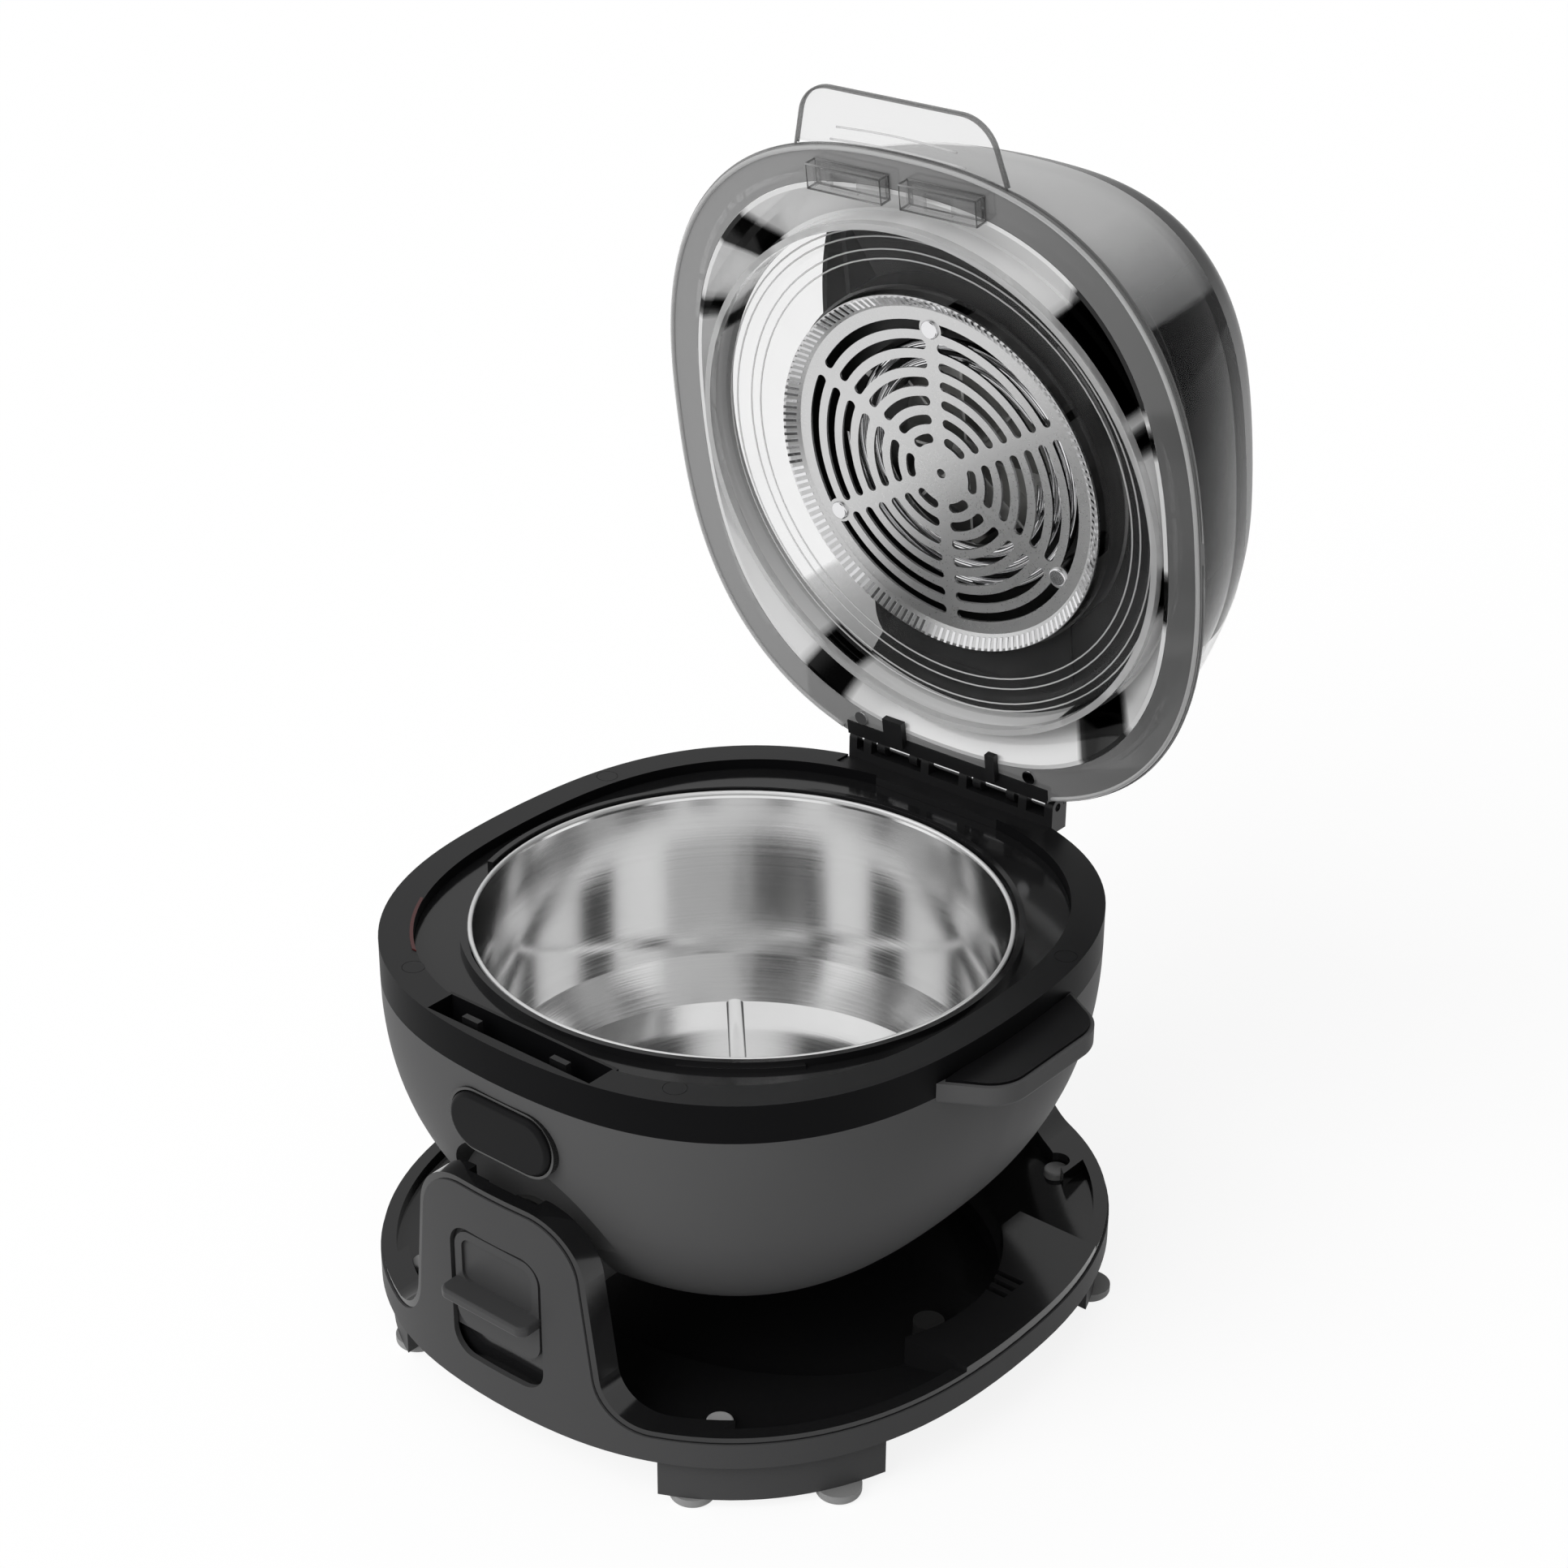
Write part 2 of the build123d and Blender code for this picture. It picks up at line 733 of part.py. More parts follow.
def make_hinge_plate():
    """The lid's half of the hinge, drawn with the lid closed."""
    low = lid_plane_z - 0.6
    high = lid_plane_z + flange_thick
    front = hinge_y - hinge_plate_front
    back = hinge_y - knuckle_radius - 0.9
    plate = block((-hinge_plate_half, front, low), (hinge_plate_half, back, high))
    for x in lid_knuckles:
        left, right = x - knuckle_width / 2, x + knuckle_width / 2
        arm_low = hinge_z - knuckle_radius + 1.2
        arm = block((left, back - past, arm_low), (right, hinge_y, hinge_z + knuckle_radius))
        plate += arm + rod_x(knuckle_radius, hinge_y, hinge_z, left, right)
    for x, width in zip(prong_spots, prong_widths):
        left, right = x - width / 2, x + width / 2
        low_z, root_y = lid_plane_z - prong_thick, front + prong_thick
        plate += block((left, front - prong_reach, low_z), (right, root_y, lid_plane_z - running))
        plate += block((left, front, low_z), (right, root_y, low + 1))
    plate -= rod_x(hinge_pin_radius + running, hinge_y, hinge_z, -bracket_half, bracket_half)
    return plate


# Lid, drawn closed: heights are above the flange's underside


def lid_z(height):
    return lid_plane_z + height


def dome_wire(height_share, inset):
    heights = [h for h, s in dome_profile]
    scales = [s for h, s in dome_profile]
    index = max(i for i, h in enumerate(heights) if h <= height_share)
    if index == len(heights) - 1:
        scale = scales[-1]
    else:
        span = heights[index + 1] - heights[index]
        part = (height_share - heights[index]) / span
        scale = scales[index] + part * (scales[index + 1] - scales[index])
    plan = replace(lid_outline.scaled(dome_scale * scale), power=dome_power)
    return plan.inset(inset).wire(lid_z(dome_height * height_share))


def dome_form(inset, shares):
    return Solid.make_loft([dome_wire(share, inset) for share in shares])


def make_dome():
    shares = [flange_thick / dome_height] + [h for h, s in dome_profile if 0 < h <= cap_share]
    return dome_form(0, shares) - dome_form(dome_wall, shares)


def make_cap():
    shares = [h for h, s in dome_profile if h >= cap_share]
    return dome_form(0, shares) - dome_form(dome_wall, shares[:-1]) - panel_form(0, past)


def panel_form(gap, rise):
    """The control panel, or the seat for it, in the top of the lid."""
    half = panel_half - gap
    middle, seat = lid_centre_y - panel_forward, lid_z(dome_height)
    return block((-half, middle - half, seat - panel_thick), (half, middle + half, seat + rise))


def make_frame():
    """The clear flange with its handle tab and its two catch tabs."""
    flange = lid_outline.ring(0, flange_band, lid_z(0), lid_z(flange_thick))
    root_y = lid_centre_y - lid_half_y + handle_root_deep
    corners = [(-handle_root_half, root_y), (-handle_tip_half, handle_tip_y),
               (handle_tip_half, handle_tip_y), (handle_root_half, root_y)]
    plan = make_face(Polyline(*corners, close=True))
    plan = fillet(plan.vertices().group_by(Axis.Y)[0], handle_round)
    handle = extrude(Pos(0, 0, lid_z(handle_lift)) * plan, amount=flange_thick - handle_lift)
    frame = flange + handle
    front = body_front_y + latch_pocket_front + 4 * sliding
    slot_back = latch_bar_y + hook_thick + button_travel + tab_slot_margin
    for x in hook_places:
        left, right = x - catch_tab_length / 2, x + catch_tab_length / 2
        low = lid_z(-catch_tab_drop)
        tab = block((left, front, low), (right, front + catch_tab_wide, lid_z(0)))
        wall = catch_tab_thick
        hollow = block((left + wall, front + wall, low + wall),
                       (right - wall, front + catch_tab_wide + past, lid_z(0)))
        slot = block((x - tab_slot_long / 2, latch_bar_y - tab_slot_margin, low - 1),
                     (x + tab_slot_long / 2, slot_back, low + catch_tab_thick + running))
        frame += tab - hollow - slot
    half = hinge_plate_half + face_gap
    frame -= block((-half, hinge_y - hinge_plate_front, lid_z(-past)),
                   (half, hinge_y + knuckle_radius, lid_z(flange_thick + past)))
    for side in (-1, 1):
        x = side * hinge_screw_x
        frame -= rod(hinge_screw_radius / 2, x, hinge_screw_y, lid_z(-past), lid_z(flange_thick + past))
    return frame


def make_hinge_screws():
    screws = []
    for side in (-1, 1):
        x = side * hinge_screw_x
        head = rod(hinge_screw_radius, x, hinge_screw_y, lid_z(-hinge_screw_head), lid_z(0))
        shank = rod(hinge_screw_radius / 2, x, hinge_screw_y, lid_z(0), lid_z(flange_thick))
        screws.append(head + shank)
    return screws


def make_liner():
    """Polished funnel from the flange to the round rim."""
    opening = lid_outline.inset(flange_band + face_gap)
    mouth = Outline(liner_rim_radius, liner_rim_radius, 2.0, 0)
    low, high = lid_z(0), lid_z(liner_channel_height + liner_sheet / 2)
    outside, inside = (mouth.inset(-share * liner_sheet) for share in (0.8, 0.2))
    outer = Solid.make_loft([opening.wire(low), outside.wire(high)])
    inner = Solid.make_loft([opening.inset(liner_sheet).wire(low), inside.wire(high)])
    edge, foot = liner_rim_radius + liner_sheet, lid_z(liner_rim_low)
    shelf, top = lid_z(liner_channel_height), lid_z(liner_channel_height + liner_sheet)
    rim = turned([(edge, shelf), (edge, top), (liner_rim_inner, top), (liner_rim_inner, foot),
                  (liner_rim_radius, foot), (liner_rim_radius, shelf)])
    return outer - inner + rim


def make_window():
    """The clear dish inside the round rim, stepped near its edge and open behind the guard."""
    edge, step = liner_rim_inner - face_gap, window_step_radius
    low, high = window_edge_low, window_edge_low + window_step_rise
    inner, top = window_inner_radius, window_height
    turn = step - window_step_rise
    under = [(edge, low), (step, low), (turn, high), (inner, top)]
    over = [(inner, top), (turn + face_gap, high), (step + face_gap, low), (edge, low)]
    return turned([(radius, lid_z(height)) for radius, height in under]
                  + [(radius, lid_z(height + window_sheet)) for radius, height in over])


def make_seal():
    low = liner_rim_low - seal_height
    ring = rod(liner_rim_radius, 0, 0, lid_z(low), lid_z(liner_rim_low))
    return ring - rod(liner_rim_inner, 0, 0, lid_z(low), lid_z(liner_rim_low))


def arc_slot(radius, start, sweep):
    """A round-ended slot along an arc, as a sketch."""
    return SlotArc(CenterArc((0, 0), radius, start, sweep), guard_slot_width)


def make_guard():
    plate = Circle(guard_radius)
    spoke_turn = 360 / guard_spoke_count
    for ring in range(guard_ring_count):
        radius = guard_first_ring + ring * guard_ring_pitch
        margin = (guard_spoke_width + guard_slot_width) / 2 / radius * 180 / pi
        for spoke in range(guard_spoke_count):
            start = (spoke + 0.5) * spoke_turn + margin
            sweep = spoke_turn - 2 * margin
            plate -= arc_slot(radius, start, sweep)
    plate -= Circle(guard_slot_width / 2)
    for x, y in screw_places():
        plate += Pos(x, y) * Circle(guard_screw_head + guard_screw_pad)
        plate -= Pos(x, y) * Circle(guard_screw_shank + running)
    low, high = lid_z(guard_height), lid_z(guard_height + guard_sheet)
    guard = extrude(Pos(0, 0, low) * plate, amount=guard_sheet)
    root, drop = guard_radius - guard_sheet, guard_rim_drop
    rim = turned([(root, high), (guard_radius, high), (guard_rim_radius, high - drop),
                  (guard_rim_radius, low - drop), (guard_rim_radius - guard_sheet, low - drop), (root, low)])
    return guard + rim


def screw_places():
    """Where the guard's screws stand, across and along."""
    turns = [turn * pi / 180 for turn in guard_screw_turns]
    return [(guard_screw_radius * cos(turn), guard_screw_radius * sin(turn)) for turn in turns]


def make_guard_screws():
    screws = []
    seat = lid_z(guard_height)
    for x, y in screw_places():
        head = rod(guard_screw_head, x, y, seat - guard_sheet, seat)
        head = fillet(head.faces().sort_by(Axis.Z)[0].edges(), guard_screw_round)
        screws.append(head + rod(guard_screw_shank, x, y, seat, seat + guard_screw_length))
    return screws


def make_chamber():
    """The drum behind the guard that holds the fan and the heater."""
    low, top = lid_z(chamber_low), lid_z(chamber_top)
    seat = lid_z(guard_height)
    drum = rod(chamber_radius, 0, 0, low, top)
    drum -= rod(chamber_radius - chamber_sheet, 0, 0, low - past, top - chamber_sheet)
    drum -= rod(fan_hub_radius, 0, 0, low, top + past)
    for x, y in screw_places():
        drum += rod(post_radius, x, y, seat + guard_sheet, top - chamber_sheet / 2)
        drum -= rod(guard_screw_shank, x, y, seat, seat + guard_screw_length)
    return drum


def make_coil():
    """The ring heater: one tube in two and a half turns, made of half circles."""
    step = coil_pitch / 2
    path = CenterArc((0, 0), coil_outer_radius, 0, 180)
    for half in range(1, coil_half_turns):
        centre, start = (step, 180) if half % 2 else (0, 0)
        path += CenterArc((centre, 0), coil_outer_radius - half * step, start, 180)
    path = Pos(0, 0, lid_z(coil_height)) * path
    start = Plane(origin=(coil_outer_radius, 0, lid_z(coil_height)), z_dir=(0, 1, 0))
    return sweep(start * Circle(coil_tube_radius), path=path)


def make_coil_clips():
    low, high = lid_z(coil_height + coil_tube_radius), lid_z(chamber_top - chamber_sheet)
    inner, outer = coil_outer_radius - 2 * coil_pitch, coil_outer_radius + coil_tube_radius
    clip = block((inner, -coil_clip_half, low), (outer, coil_clip_half, high))
    return [Rot(0, 0, turn) * clip for turn in coil_clip_turns]


def make_fan():
    top = fan_low + fan_blade_height
    fan = rod(fan_hub_radius - 1, 0, 0, lid_z(fan_low), lid_z(top + fan_disc_thick))
    fan += rod(fan_radius, 0, 0, lid_z(top), lid_z(top + fan_disc_thick))
    for i in range(fan_blade_count):
        blade = block((fan_hub_radius - 2, -fan_blade_thick / 2, lid_z(fan_low)),
                      (fan_radius, fan_blade_thick / 2, lid_z(top + running)))
        fan += Rot(0, 0, 360 / fan_blade_count * i) * blade
    return fan - rod(fan_shaft_radius, 0, 0, lid_z(0), lid_z(top + fan_hub_radius))


def make_fan_shaft():
    tip = chamber_top + motor_height * motor_shaft_share
    return rod(fan_shaft_radius, 0, 0, lid_z(fan_low - fan_shaft_proud), lid_z(tip))


def make_motor():
    low = lid_z(chamber_top)
    motor = rod(motor_radius, 0, 0, low, low + motor_height)
    motor = fillet(motor.faces().sort_by(Axis.Z)[-1].edges(), motor_round)
    bore_top = low + motor_height * motor_shaft_share + past
    return motor - rod(fan_shaft_radius + running, 0, 0, low - past, bore_top)


def make_housing():
    """The dark centre housing that hides the motor, from front to back of the lid."""
    plan = RectangleRounded(2 * housing_half_x, 2 * housing_half_y, housing_round)
    plan = Pos(0, lid_centre_y) * plan
    low, high = lid_z(housing_low), lid_z(housing_roof)
    box = extrude(Pos(0, 0, low) * plan, amount=high - low)
    inner = Pos(0, 0, low - past) * offset(plan, -housing_wall)
    inside = extrude(inner, amount=high - low - housing_wall)
    housing = box - inside
    housing -= rod(chamber_radius + face_gap, 0, 0, lid_z(0), lid_z(chamber_top + face_gap))
    return housing


def make_board():
    seat = lid_z(housing_roof)
    return block((-board_half, board_front_y, seat), (board_half, board_back_y, seat + board_thick))


# Base


def tower_side_half(z, grow):
    """Half width of a tower at a height, grown outwards square to its side."""
    rise = tower_top_z - skirt_top_z
    lean = (tower_head_half - tower_foot_half) / rise
    return tower_foot_half + lean * (z - skirt_top_z) + grow * hypot(1, lean)


def tower_sketch(grow):
    low, step, high = skirt_low_z, skirt_top_z + grow, tower_top_z + grow
    foot, head = tower_side_half(step, grow), tower_side_half(high, grow)
    right = [(tower_band_half, low), (tower_band_half, step), (foot, step), (head, high)]
    left = [(-x, z) for x, z in reversed(right)]
    sketch = make_face(Polyline(*right, *left, close=True))
    heads = [v for v in sketch.vertices() if abs(v.Y - high) < 0.1]
    sketch = fillet(heads, tower_head_round + grow)
    feet = [v for v in sketch.vertices() if abs(v.Y - step) < 0.1 and abs(v.X) < tower_band_half - 1]
    return fillet(feet, tower_foot_round - grow)


def tower_column(side, grow):
    """The tower's outline as seen from the front, run through one half of the base."""
    near, far = base_half_y / 2, far_out
    front = base_centre_y + (near if side > 0 else -far)
    return upright_plate(tower_sketch(grow), front, far - near)


def make_skirt():
    skirt = base_outline.ring(0, skirt_wall, skirt_low_z, skirt_top_z)
    face = base_outline.ring(0, skirt_wall, skirt_low_z, tower_top_z + lip_height)
    for side in (-1, 1):
        skirt += face & tower_column(side, 0)
    legs = base_outline.ring(leg_inset, leg_inset + leg_thick, leg_low_z, skirt_low_z)
    leg_high = skirt_low_z + deck_wall
    band = base_outline.ring(skirt_wall - merge, leg_inset + leg_thick, skirt_low_z, leg_high)
    for sx, sy in corners_four:
        near = (sx * leg_from_x, base_centre_y + sy * leg_from_y)
        far = (sx * far_out, base_centre_y + sy * far_out)
        skirt += (legs + band) & block_between(near, far, leg_low_z, leg_high)
    slot = RectangleRounded(2 * slot_half, slot_high_z - slot_low_z, slot_round)
    slot = Pos(0, (slot_low_z + slot_high_z) / 2) * slot
    skirt -= upright_plate(slot, base_front_y - past, front_tower_deep)
    inlet = Pos(0, inlet_z) * RectangleRounded(inlet_width, inlet_height, inlet_round)
    return skirt - upright_plate(inlet, base_back_y - inlet_deep, 2 * inlet_deep)


def block_between(a, b, low, high):
    """A box from two plan corners in any order."""
    return block((min(a[0], b[0]), min(a[1], b[1]), low), (max(a[0], b[0]), max(a[1], b[1]), high))


def dish_form():
    """The sloping deck's hollow: from the lip's inner edge down to the well."""
    upper = base_outline.inset(lip_inset + lip_band)
    slope = Solid.make_loft([well_outline.wire(well_rim_z), upper.wire(deck_edge_z)])
    return slope + well_outline.prism(well_floor_z, well_rim_z)


def carrier_notch(side, grow):
    """The notch, open at the top, that a pivot carrier drops into."""
    inner = front_tower_inner_y if side < 0 else rear_tower_inner_y
    near = inner + side * (carrier_thick + grow)
    far = inner - side * front_tower_deep
    half = carrier_half + grow
    return block_between((-half, near), (half, far), carrier_low_z, far_out)


def make_deck():
    low = skirt_low_z + deck_wall
    deck = base_outline.inset(skirt_wall).prism(low, skirt_top_z)
    deck += base_outline.inset(lip_inset).prism(skirt_top_z, skirt_top_z + lip_height)
    deck += base_outline.inset(leg_inset + leg_thick + face_gap).prism(skirt_low_z, low)
    deck += well_outline.inset(-deck_wall).prism(well_floor_z - deck_wall, low)
    deck -= dish_form()
    deck -= base_outline.inset(lip_inset + lip_band).prism(deck_edge_z, far_out)
    pads = base_outline.inset(skirt_wall).prism(low, skirt_top_z)
    pads += base_outline.inset(lip_inset).prism(skirt_top_z, skirt_top_z + lip_height + pad_rise)
    pads -= well_outline.inset(-past).prism(0, far_out)
    pad_box = block((pad_from_x, pad_front_y, 0), (far_out, pad_back_y, far_out))
    for box in both_sides(pad_box):
        deck += pads & box
    vent_low = deck_edge_z - vent_width
    for i in range(vent_count):
        y = vent_first_y + i * vent_pitch
        for side in (-1, 1):
            near = (side * (well_half_x - vent_overlap), y)
            far = (side * (well_half_x + vent_length), y + vent_width)
            deck -= block_between(near, far, vent_low, far_out)
    tower_high = tower_top_z + 2 * lip_height
    for side, deep in ((-1, front_tower_deep), (1, rear_tower_deep)):
        core = base_outline.ring(lip_inset, deep, well_rim_z + 2 * past, tower_high)
        skin = base_outline.ring(-past, skirt_wall, skirt_low_z, tower_high)
        deck += core & tower_column(side, lip_height)
        deck -= skin & tower_column(side, 0)
        deck -= carrier_notch(side, face_gap)
        deck -= pivot_slot(side)
    deck -= lever_pocket()
    deck -= motor_pocket()
    deck -= inlet_pocket()
    for x, y in cap_spots:
        deck -= rod(cap_radius, x, y, deck_edge_z - cap_sink, far_out)
    well_low = well_floor_z - deck_wall
    for x, y in boss_spots:
        deck += rod(boss_radius, x, y, plate_low_z + plate_thick, well_low + past / 2)
        deck -= rod(base_screw_radius, x, y, plate_low_z, well_low)
    return deck


def pivot_slot(side):
    """The open-topped slot in a tower's inner wall that the pivot pin passes."""
    inner = front_tower_inner_y if side < 0 else rear_tower_inner_y
    half = pivot_radius + deck_wall - past
    ends = inner + side * (carrier_thick + past), inner - side * front_tower_deep
    slot = block_between((-half, ends[0]), (half, ends[1]), pivot_z, far_out)
    return slot + rod_y(half, 0, pivot_z, min(ends), max(ends))


def lever_pocket():
    front = base_front_y + skirt_wall - past / 2
    back = base_front_y + skirt_wall + pocket_deep
    pocket = block((-pocket_half, front, pocket_low_z), (pocket_half, back, pocket_high_z))
    return pocket + bolt_form(back - past, back + pocket_deep, sliding)


def bolt_form(near, far, grow):
    """The bolt, or the way cut for it, between two places along Y."""
    half, rise = bolt_width / 2 + grow, bolt_height / 2 + grow
    return block((-half, near, bolt_z - rise), (half, far, bolt_z + rise))


def motor_pocket():
    near = rear_tower_inner_y + carrier_thick
    return rod_y(rock_motor_radius + past, 0, pivot_z, near, motor_back_y + sliding)


def inlet_pocket():
    half = inlet_width / 2
    return block((-half, base_back_y - inlet_deep, inlet_z - inlet_height / 2),
                 (half, base_back_y + 2, inlet_z + inlet_height / 2))


def make_carrier(side):
    inner = front_tower_inner_y if side < 0 else rear_tower_inner_y
    front, back = sorted((inner, inner + side * carrier_thick))
    plate = block((-carrier_half, front, carrier_low_z), (carrier_half, back, carrier_high_z))
    plate -= rod_y(pivot_radius + running, 0, pivot_z, front - past, back + past)
    if side < 0:
        plate -= bolt_form(front - past, back + past, sliding)
    return plate


def make_front_pivot():
    tip = front_tower_inner_y - carrier_thick + past / 2
    face = front_pivot_face_y
    pin = rod_y(pivot_radius, 0, pivot_z, tip, face + 2 * bowl_wall)
    flange = rod_y(pivot_flange_radius, 0, pivot_z, face - pivot_flange_thick, face)
    return pin + flange


def make_rear_pivot():
    tip = rock_shaft_tip_y
    face = rear_pivot_face_y
    pin = rod_y(pivot_radius, 0, pivot_z, face - 2 * bowl_wall, tip)
    flange = rod_y(pivot_flange_radius, 0, pivot_z, face, face + pivot_flange_thick)
    return pin + flange - rod_y(rock_shaft_radius, 0, pivot_z, tip - rock_shaft_grip, tip + past)


def make_rock_shaft():
    tip = rock_shaft_tip_y
    return rod_y(rock_shaft_radius, 0, pivot_z, tip - rock_shaft_grip, tip + rock_shaft_grip - past)


def make_rock_motor():
    near = rock_shaft_tip_y + sliding
    can = rod_y(rock_motor_radius, 0, pivot_z, near, motor_back_y)
    return can - rod_y(rock_shaft_radius + running, 0, pivot_z, near - past, near + rock_shaft_grip)


def make_lever():
    front = base_front_y + skirt_wall + sliding
    middle = (slider_low_z + slider_high_z) / 2
    height = slider_high_z - slider_low_z
    face = Pos(0, middle) * RectangleRounded(2 * slider_half, height, slider_round)
    plate = upright_plate(face, front - slider_proud, slider_thick + slider_proud)
    flange = Rectangle(2 * (slider_half + slider_flange), height + 2 * slider_flange - past)
    flange_front = base_front_y + skirt_wall + slider_flange_back
    plate += upright_plate(Pos(0, middle) * flange, flange_front, front + slider_thick - flange_front)
    dish_low, dish_high = paddle_z + paddle_thick / 2, slider_high_z - slider_border
    dish_half = slider_half - slider_border
    dish = RectangleRounded(2 * dish_half, dish_high - dish_low, slider_round / 2)
    dish = Pos(0, (dish_low + dish_high) / 2) * dish
    plate -= upright_plate(dish, front - slider_proud - past, past + slider_dish)
    rise = paddle_thick / 2
    paddle = block((-paddle_half, base_front_y - paddle_reach, paddle_z - rise),
                   (paddle_half, front + past, paddle_z + rise))
    paddle = fillet(paddle.faces().sort_by(Axis.Y)[0].edges().filter_by(Axis.Z), paddle_round)
    paddle = fillet(paddle.edges().filter_by(Axis.X).group_by(Axis.Y)[0], paddle_edge_round)
    return plate + paddle


def make_bolt():
    back = front_tower_inner_y - carrier_thick + bolt_bite
    front = base_front_y + skirt_wall + bolt_travel + sliding
    return bolt_form(front, back, 0)


def make_feet():
    feet = []
    for sx, sy in corners_four:
        for x, y in foot_spots:
            foot = rod(foot_radius, sx * x, base_centre_y + sy * y, 0, leg_low_z)
            edge = foot.faces().sort_by(Axis.Z)[0].edges()
            feet.append(fillet(edge, leg_low_z * foot_round_share))
    return feet


def make_caps():
    low = deck_edge_z - cap_sink
    caps = []
    for x, y in cap_spots:
        cap = rod(cap_radius - face_gap, x, y, low, deck_edge_z + cap_thick)
        caps.append(fillet(cap.faces().sort_by(Axis.Z)[-1].edges(), cap_thick * cap_round_share))
    return caps


def make_bottom_plate():
    plate = base_outline.inset(plate_inset).prism(plate_low_z, plate_low_z + plate_thick)
    for x, y in boss_spots:
        plate -= rod(base_screw_radius, x, y, 0, far_out)
    for i in range(plate_slot_count):
        x = (i - (plate_slot_count - 1) / 2) * plate_slot_pitch
        plate -= block((x - plate_slot_half, plate_slot_front_y, 0),
                       (x + plate_slot_half, plate_slot_back_y, far_out))
    return plate


def make_base_screws():
    screws = []
    for x, y in boss_spots:
        head = rod(base_screw_head, x, y, plate_low_z - base_screw_head_thick, plate_low_z)
        screws.append(head + rod(base_screw_radius, x, y, plate_low_z, well_floor_z - deck_wall))
    return screws


def make_bumpers():
    bumper = rod(bumper_radius, bumper_x, base_centre_y, well_floor_z, well_floor_z + bumper_height)
    return both_sides(bumper)


def make_base_board():
    low = plate_low_z + plate_thick
    return block((-base_board_half, base_board_front_y, low),
                 (base_board_half, base_board_back_y, low + base_board_thick))


def make_inlet():
    width, height = inlet_width - 2 * face_gap, inlet_height - 2 * face_gap
    near = base_back_y - inlet_deep + face_gap
    outside = Pos(0, inlet_z) * RectangleRounded(width, height, inlet_round)
    inlet = upright_plate(outside, near, base_back_y - near)
    inlet -= upright_plate(offset(outside, -inlet_wall), near + inlet_wall, inlet_deep)
    pin_tip = base_back_y - inlet_pin
    half = inlet_pin / 2
    for x in (-inlet_pin_pitch, 0, inlet_pin_pitch):
        inlet += block((x - half, near + inlet_wall / 2, inlet_z - inlet_pin),
                       (x + half, pin_tip, inlet_z + inlet_pin))
    return inlet


def opened(solid):
    """A lid piece, turned from its closed place to the open rest pose."""
    return solid.rotate(Axis((0, hinge_y, hinge_z), (1, 0, 0)), -lid_open_angle)


def build():
    side_tab, tab_pad = make_side_tab()
    button, bezel = make_button_parts()
    nodes = {
        "base_skirt": make_skirt(),
        "base_deck": make_deck(),
        "base_bottom_plate": make_bottom_plate(),
        "base_screws": make_base_screws(),
        "rubber_feet": make_feet(),
        "deck_screw_caps": make_caps(),
        "rock_bumpers": make_bumpers(),
        "base_board": make_base_board(),
        "power_inlet": make_inlet(),
        "front_pivot_carrier": make_carrier(-1),
        "rear_pivot_carrier": make_carrier(1),
        "rock_motor": make_rock_motor(),
        "release_lever": make_lever(),
        "lever_bolt": make_bolt(),
        "bowl_shell": make_bowl_shell(),
        "collar": make_collar(),
        "inner_ring": make_inner_ring(),
        "heat_shield": make_heat_shield(),
        "bottom_heater": make_heater_plate(),
        "side_tab": side_tab,
        "side_tab_pad": tab_pad,
        "collar_plugs": make_plugs(),
        "indicator_lens": make_lamp(),
        "front_pivot": make_front_pivot(),
        "rear_pivot": make_rear_pivot(),
        "rock_shaft": make_rock_shaft(),
        "button_bezel": bezel,
        "latch_clips": make_latch_clips(),
        "hinge_bracket": make_hinge_bracket(),
        "hinge_pin": make_hinge_pin(),
        "release_button": button,
        "latch_bar": make_latch(),
        "pot": make_pot(),
    }
    lid_nodes = {
        "lid_frame": make_frame(),
        "lid_dome": make_dome(),
        "lid_cap": make_cap(),
        "control_panel": panel_form(face_gap, 0),
        "control_board": make_board(),
        "lid_liner": make_liner(),
        "lid_window": make_window(),
        "lid_seal": make_seal(),
        "fan_guard": make_guard(),
        "guard_screws": make_guard_screws(),
        "fan_chamber": make_chamber(),
        "heater_coil": make_coil(),
        "coil_clips": make_coil_clips(),
        "fan": make_fan(),
        "fan_shaft": make_fan_shaft(),
        "fan_motor": make_motor(),
        "motor_housing": make_housing(),
        "hinge_plate": make_hinge_plate(),
        "hinge_screws": make_hinge_screws(),
    }
    for name, piece in lid_nodes.items():
        nodes[name] = [opened(s) for s in piece] if isinstance(piece, list) else opened(piece)
    return nodes


def as_shape(piece):
    """One shape from a piece or from a list of like pieces."""
    if isinstance(piece, list):
        return Compound([solid for item in piece for solid in item.solids()])
    solids = piece.solids()
    return solids[0] if len(solids) == 1 else Compound(solids)


def main():
    os.makedirs("parts", exist_ok=True)
    shapes = {name: as_shape(piece) for name, piece in build().items()}
    boxes = [shape.bounding_box() for shape in shapes.values()]
    left, right = min(box.min.X for box in boxes), max(box.max.X for box in boxes)
    front, back = min(box.min.Y for box in boxes), max(box.max.Y for box in boxes)
    across, along = -(left + right) / 2, -(front + back) / 2
    print("moved by", round(across, 4), "and", round(along, 4), "to centre the footprint")
    for name, shape in shapes.items():
        export_step(shape.moved(Location((across, along, 0))), f"parts/{name}.step")


main()
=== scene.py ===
"""Countertop air fryer grill: finishes, small trim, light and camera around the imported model."""

import logging
import math
from dataclasses import dataclass
from enum import Enum
from typing import ClassVar, Iterable, Union

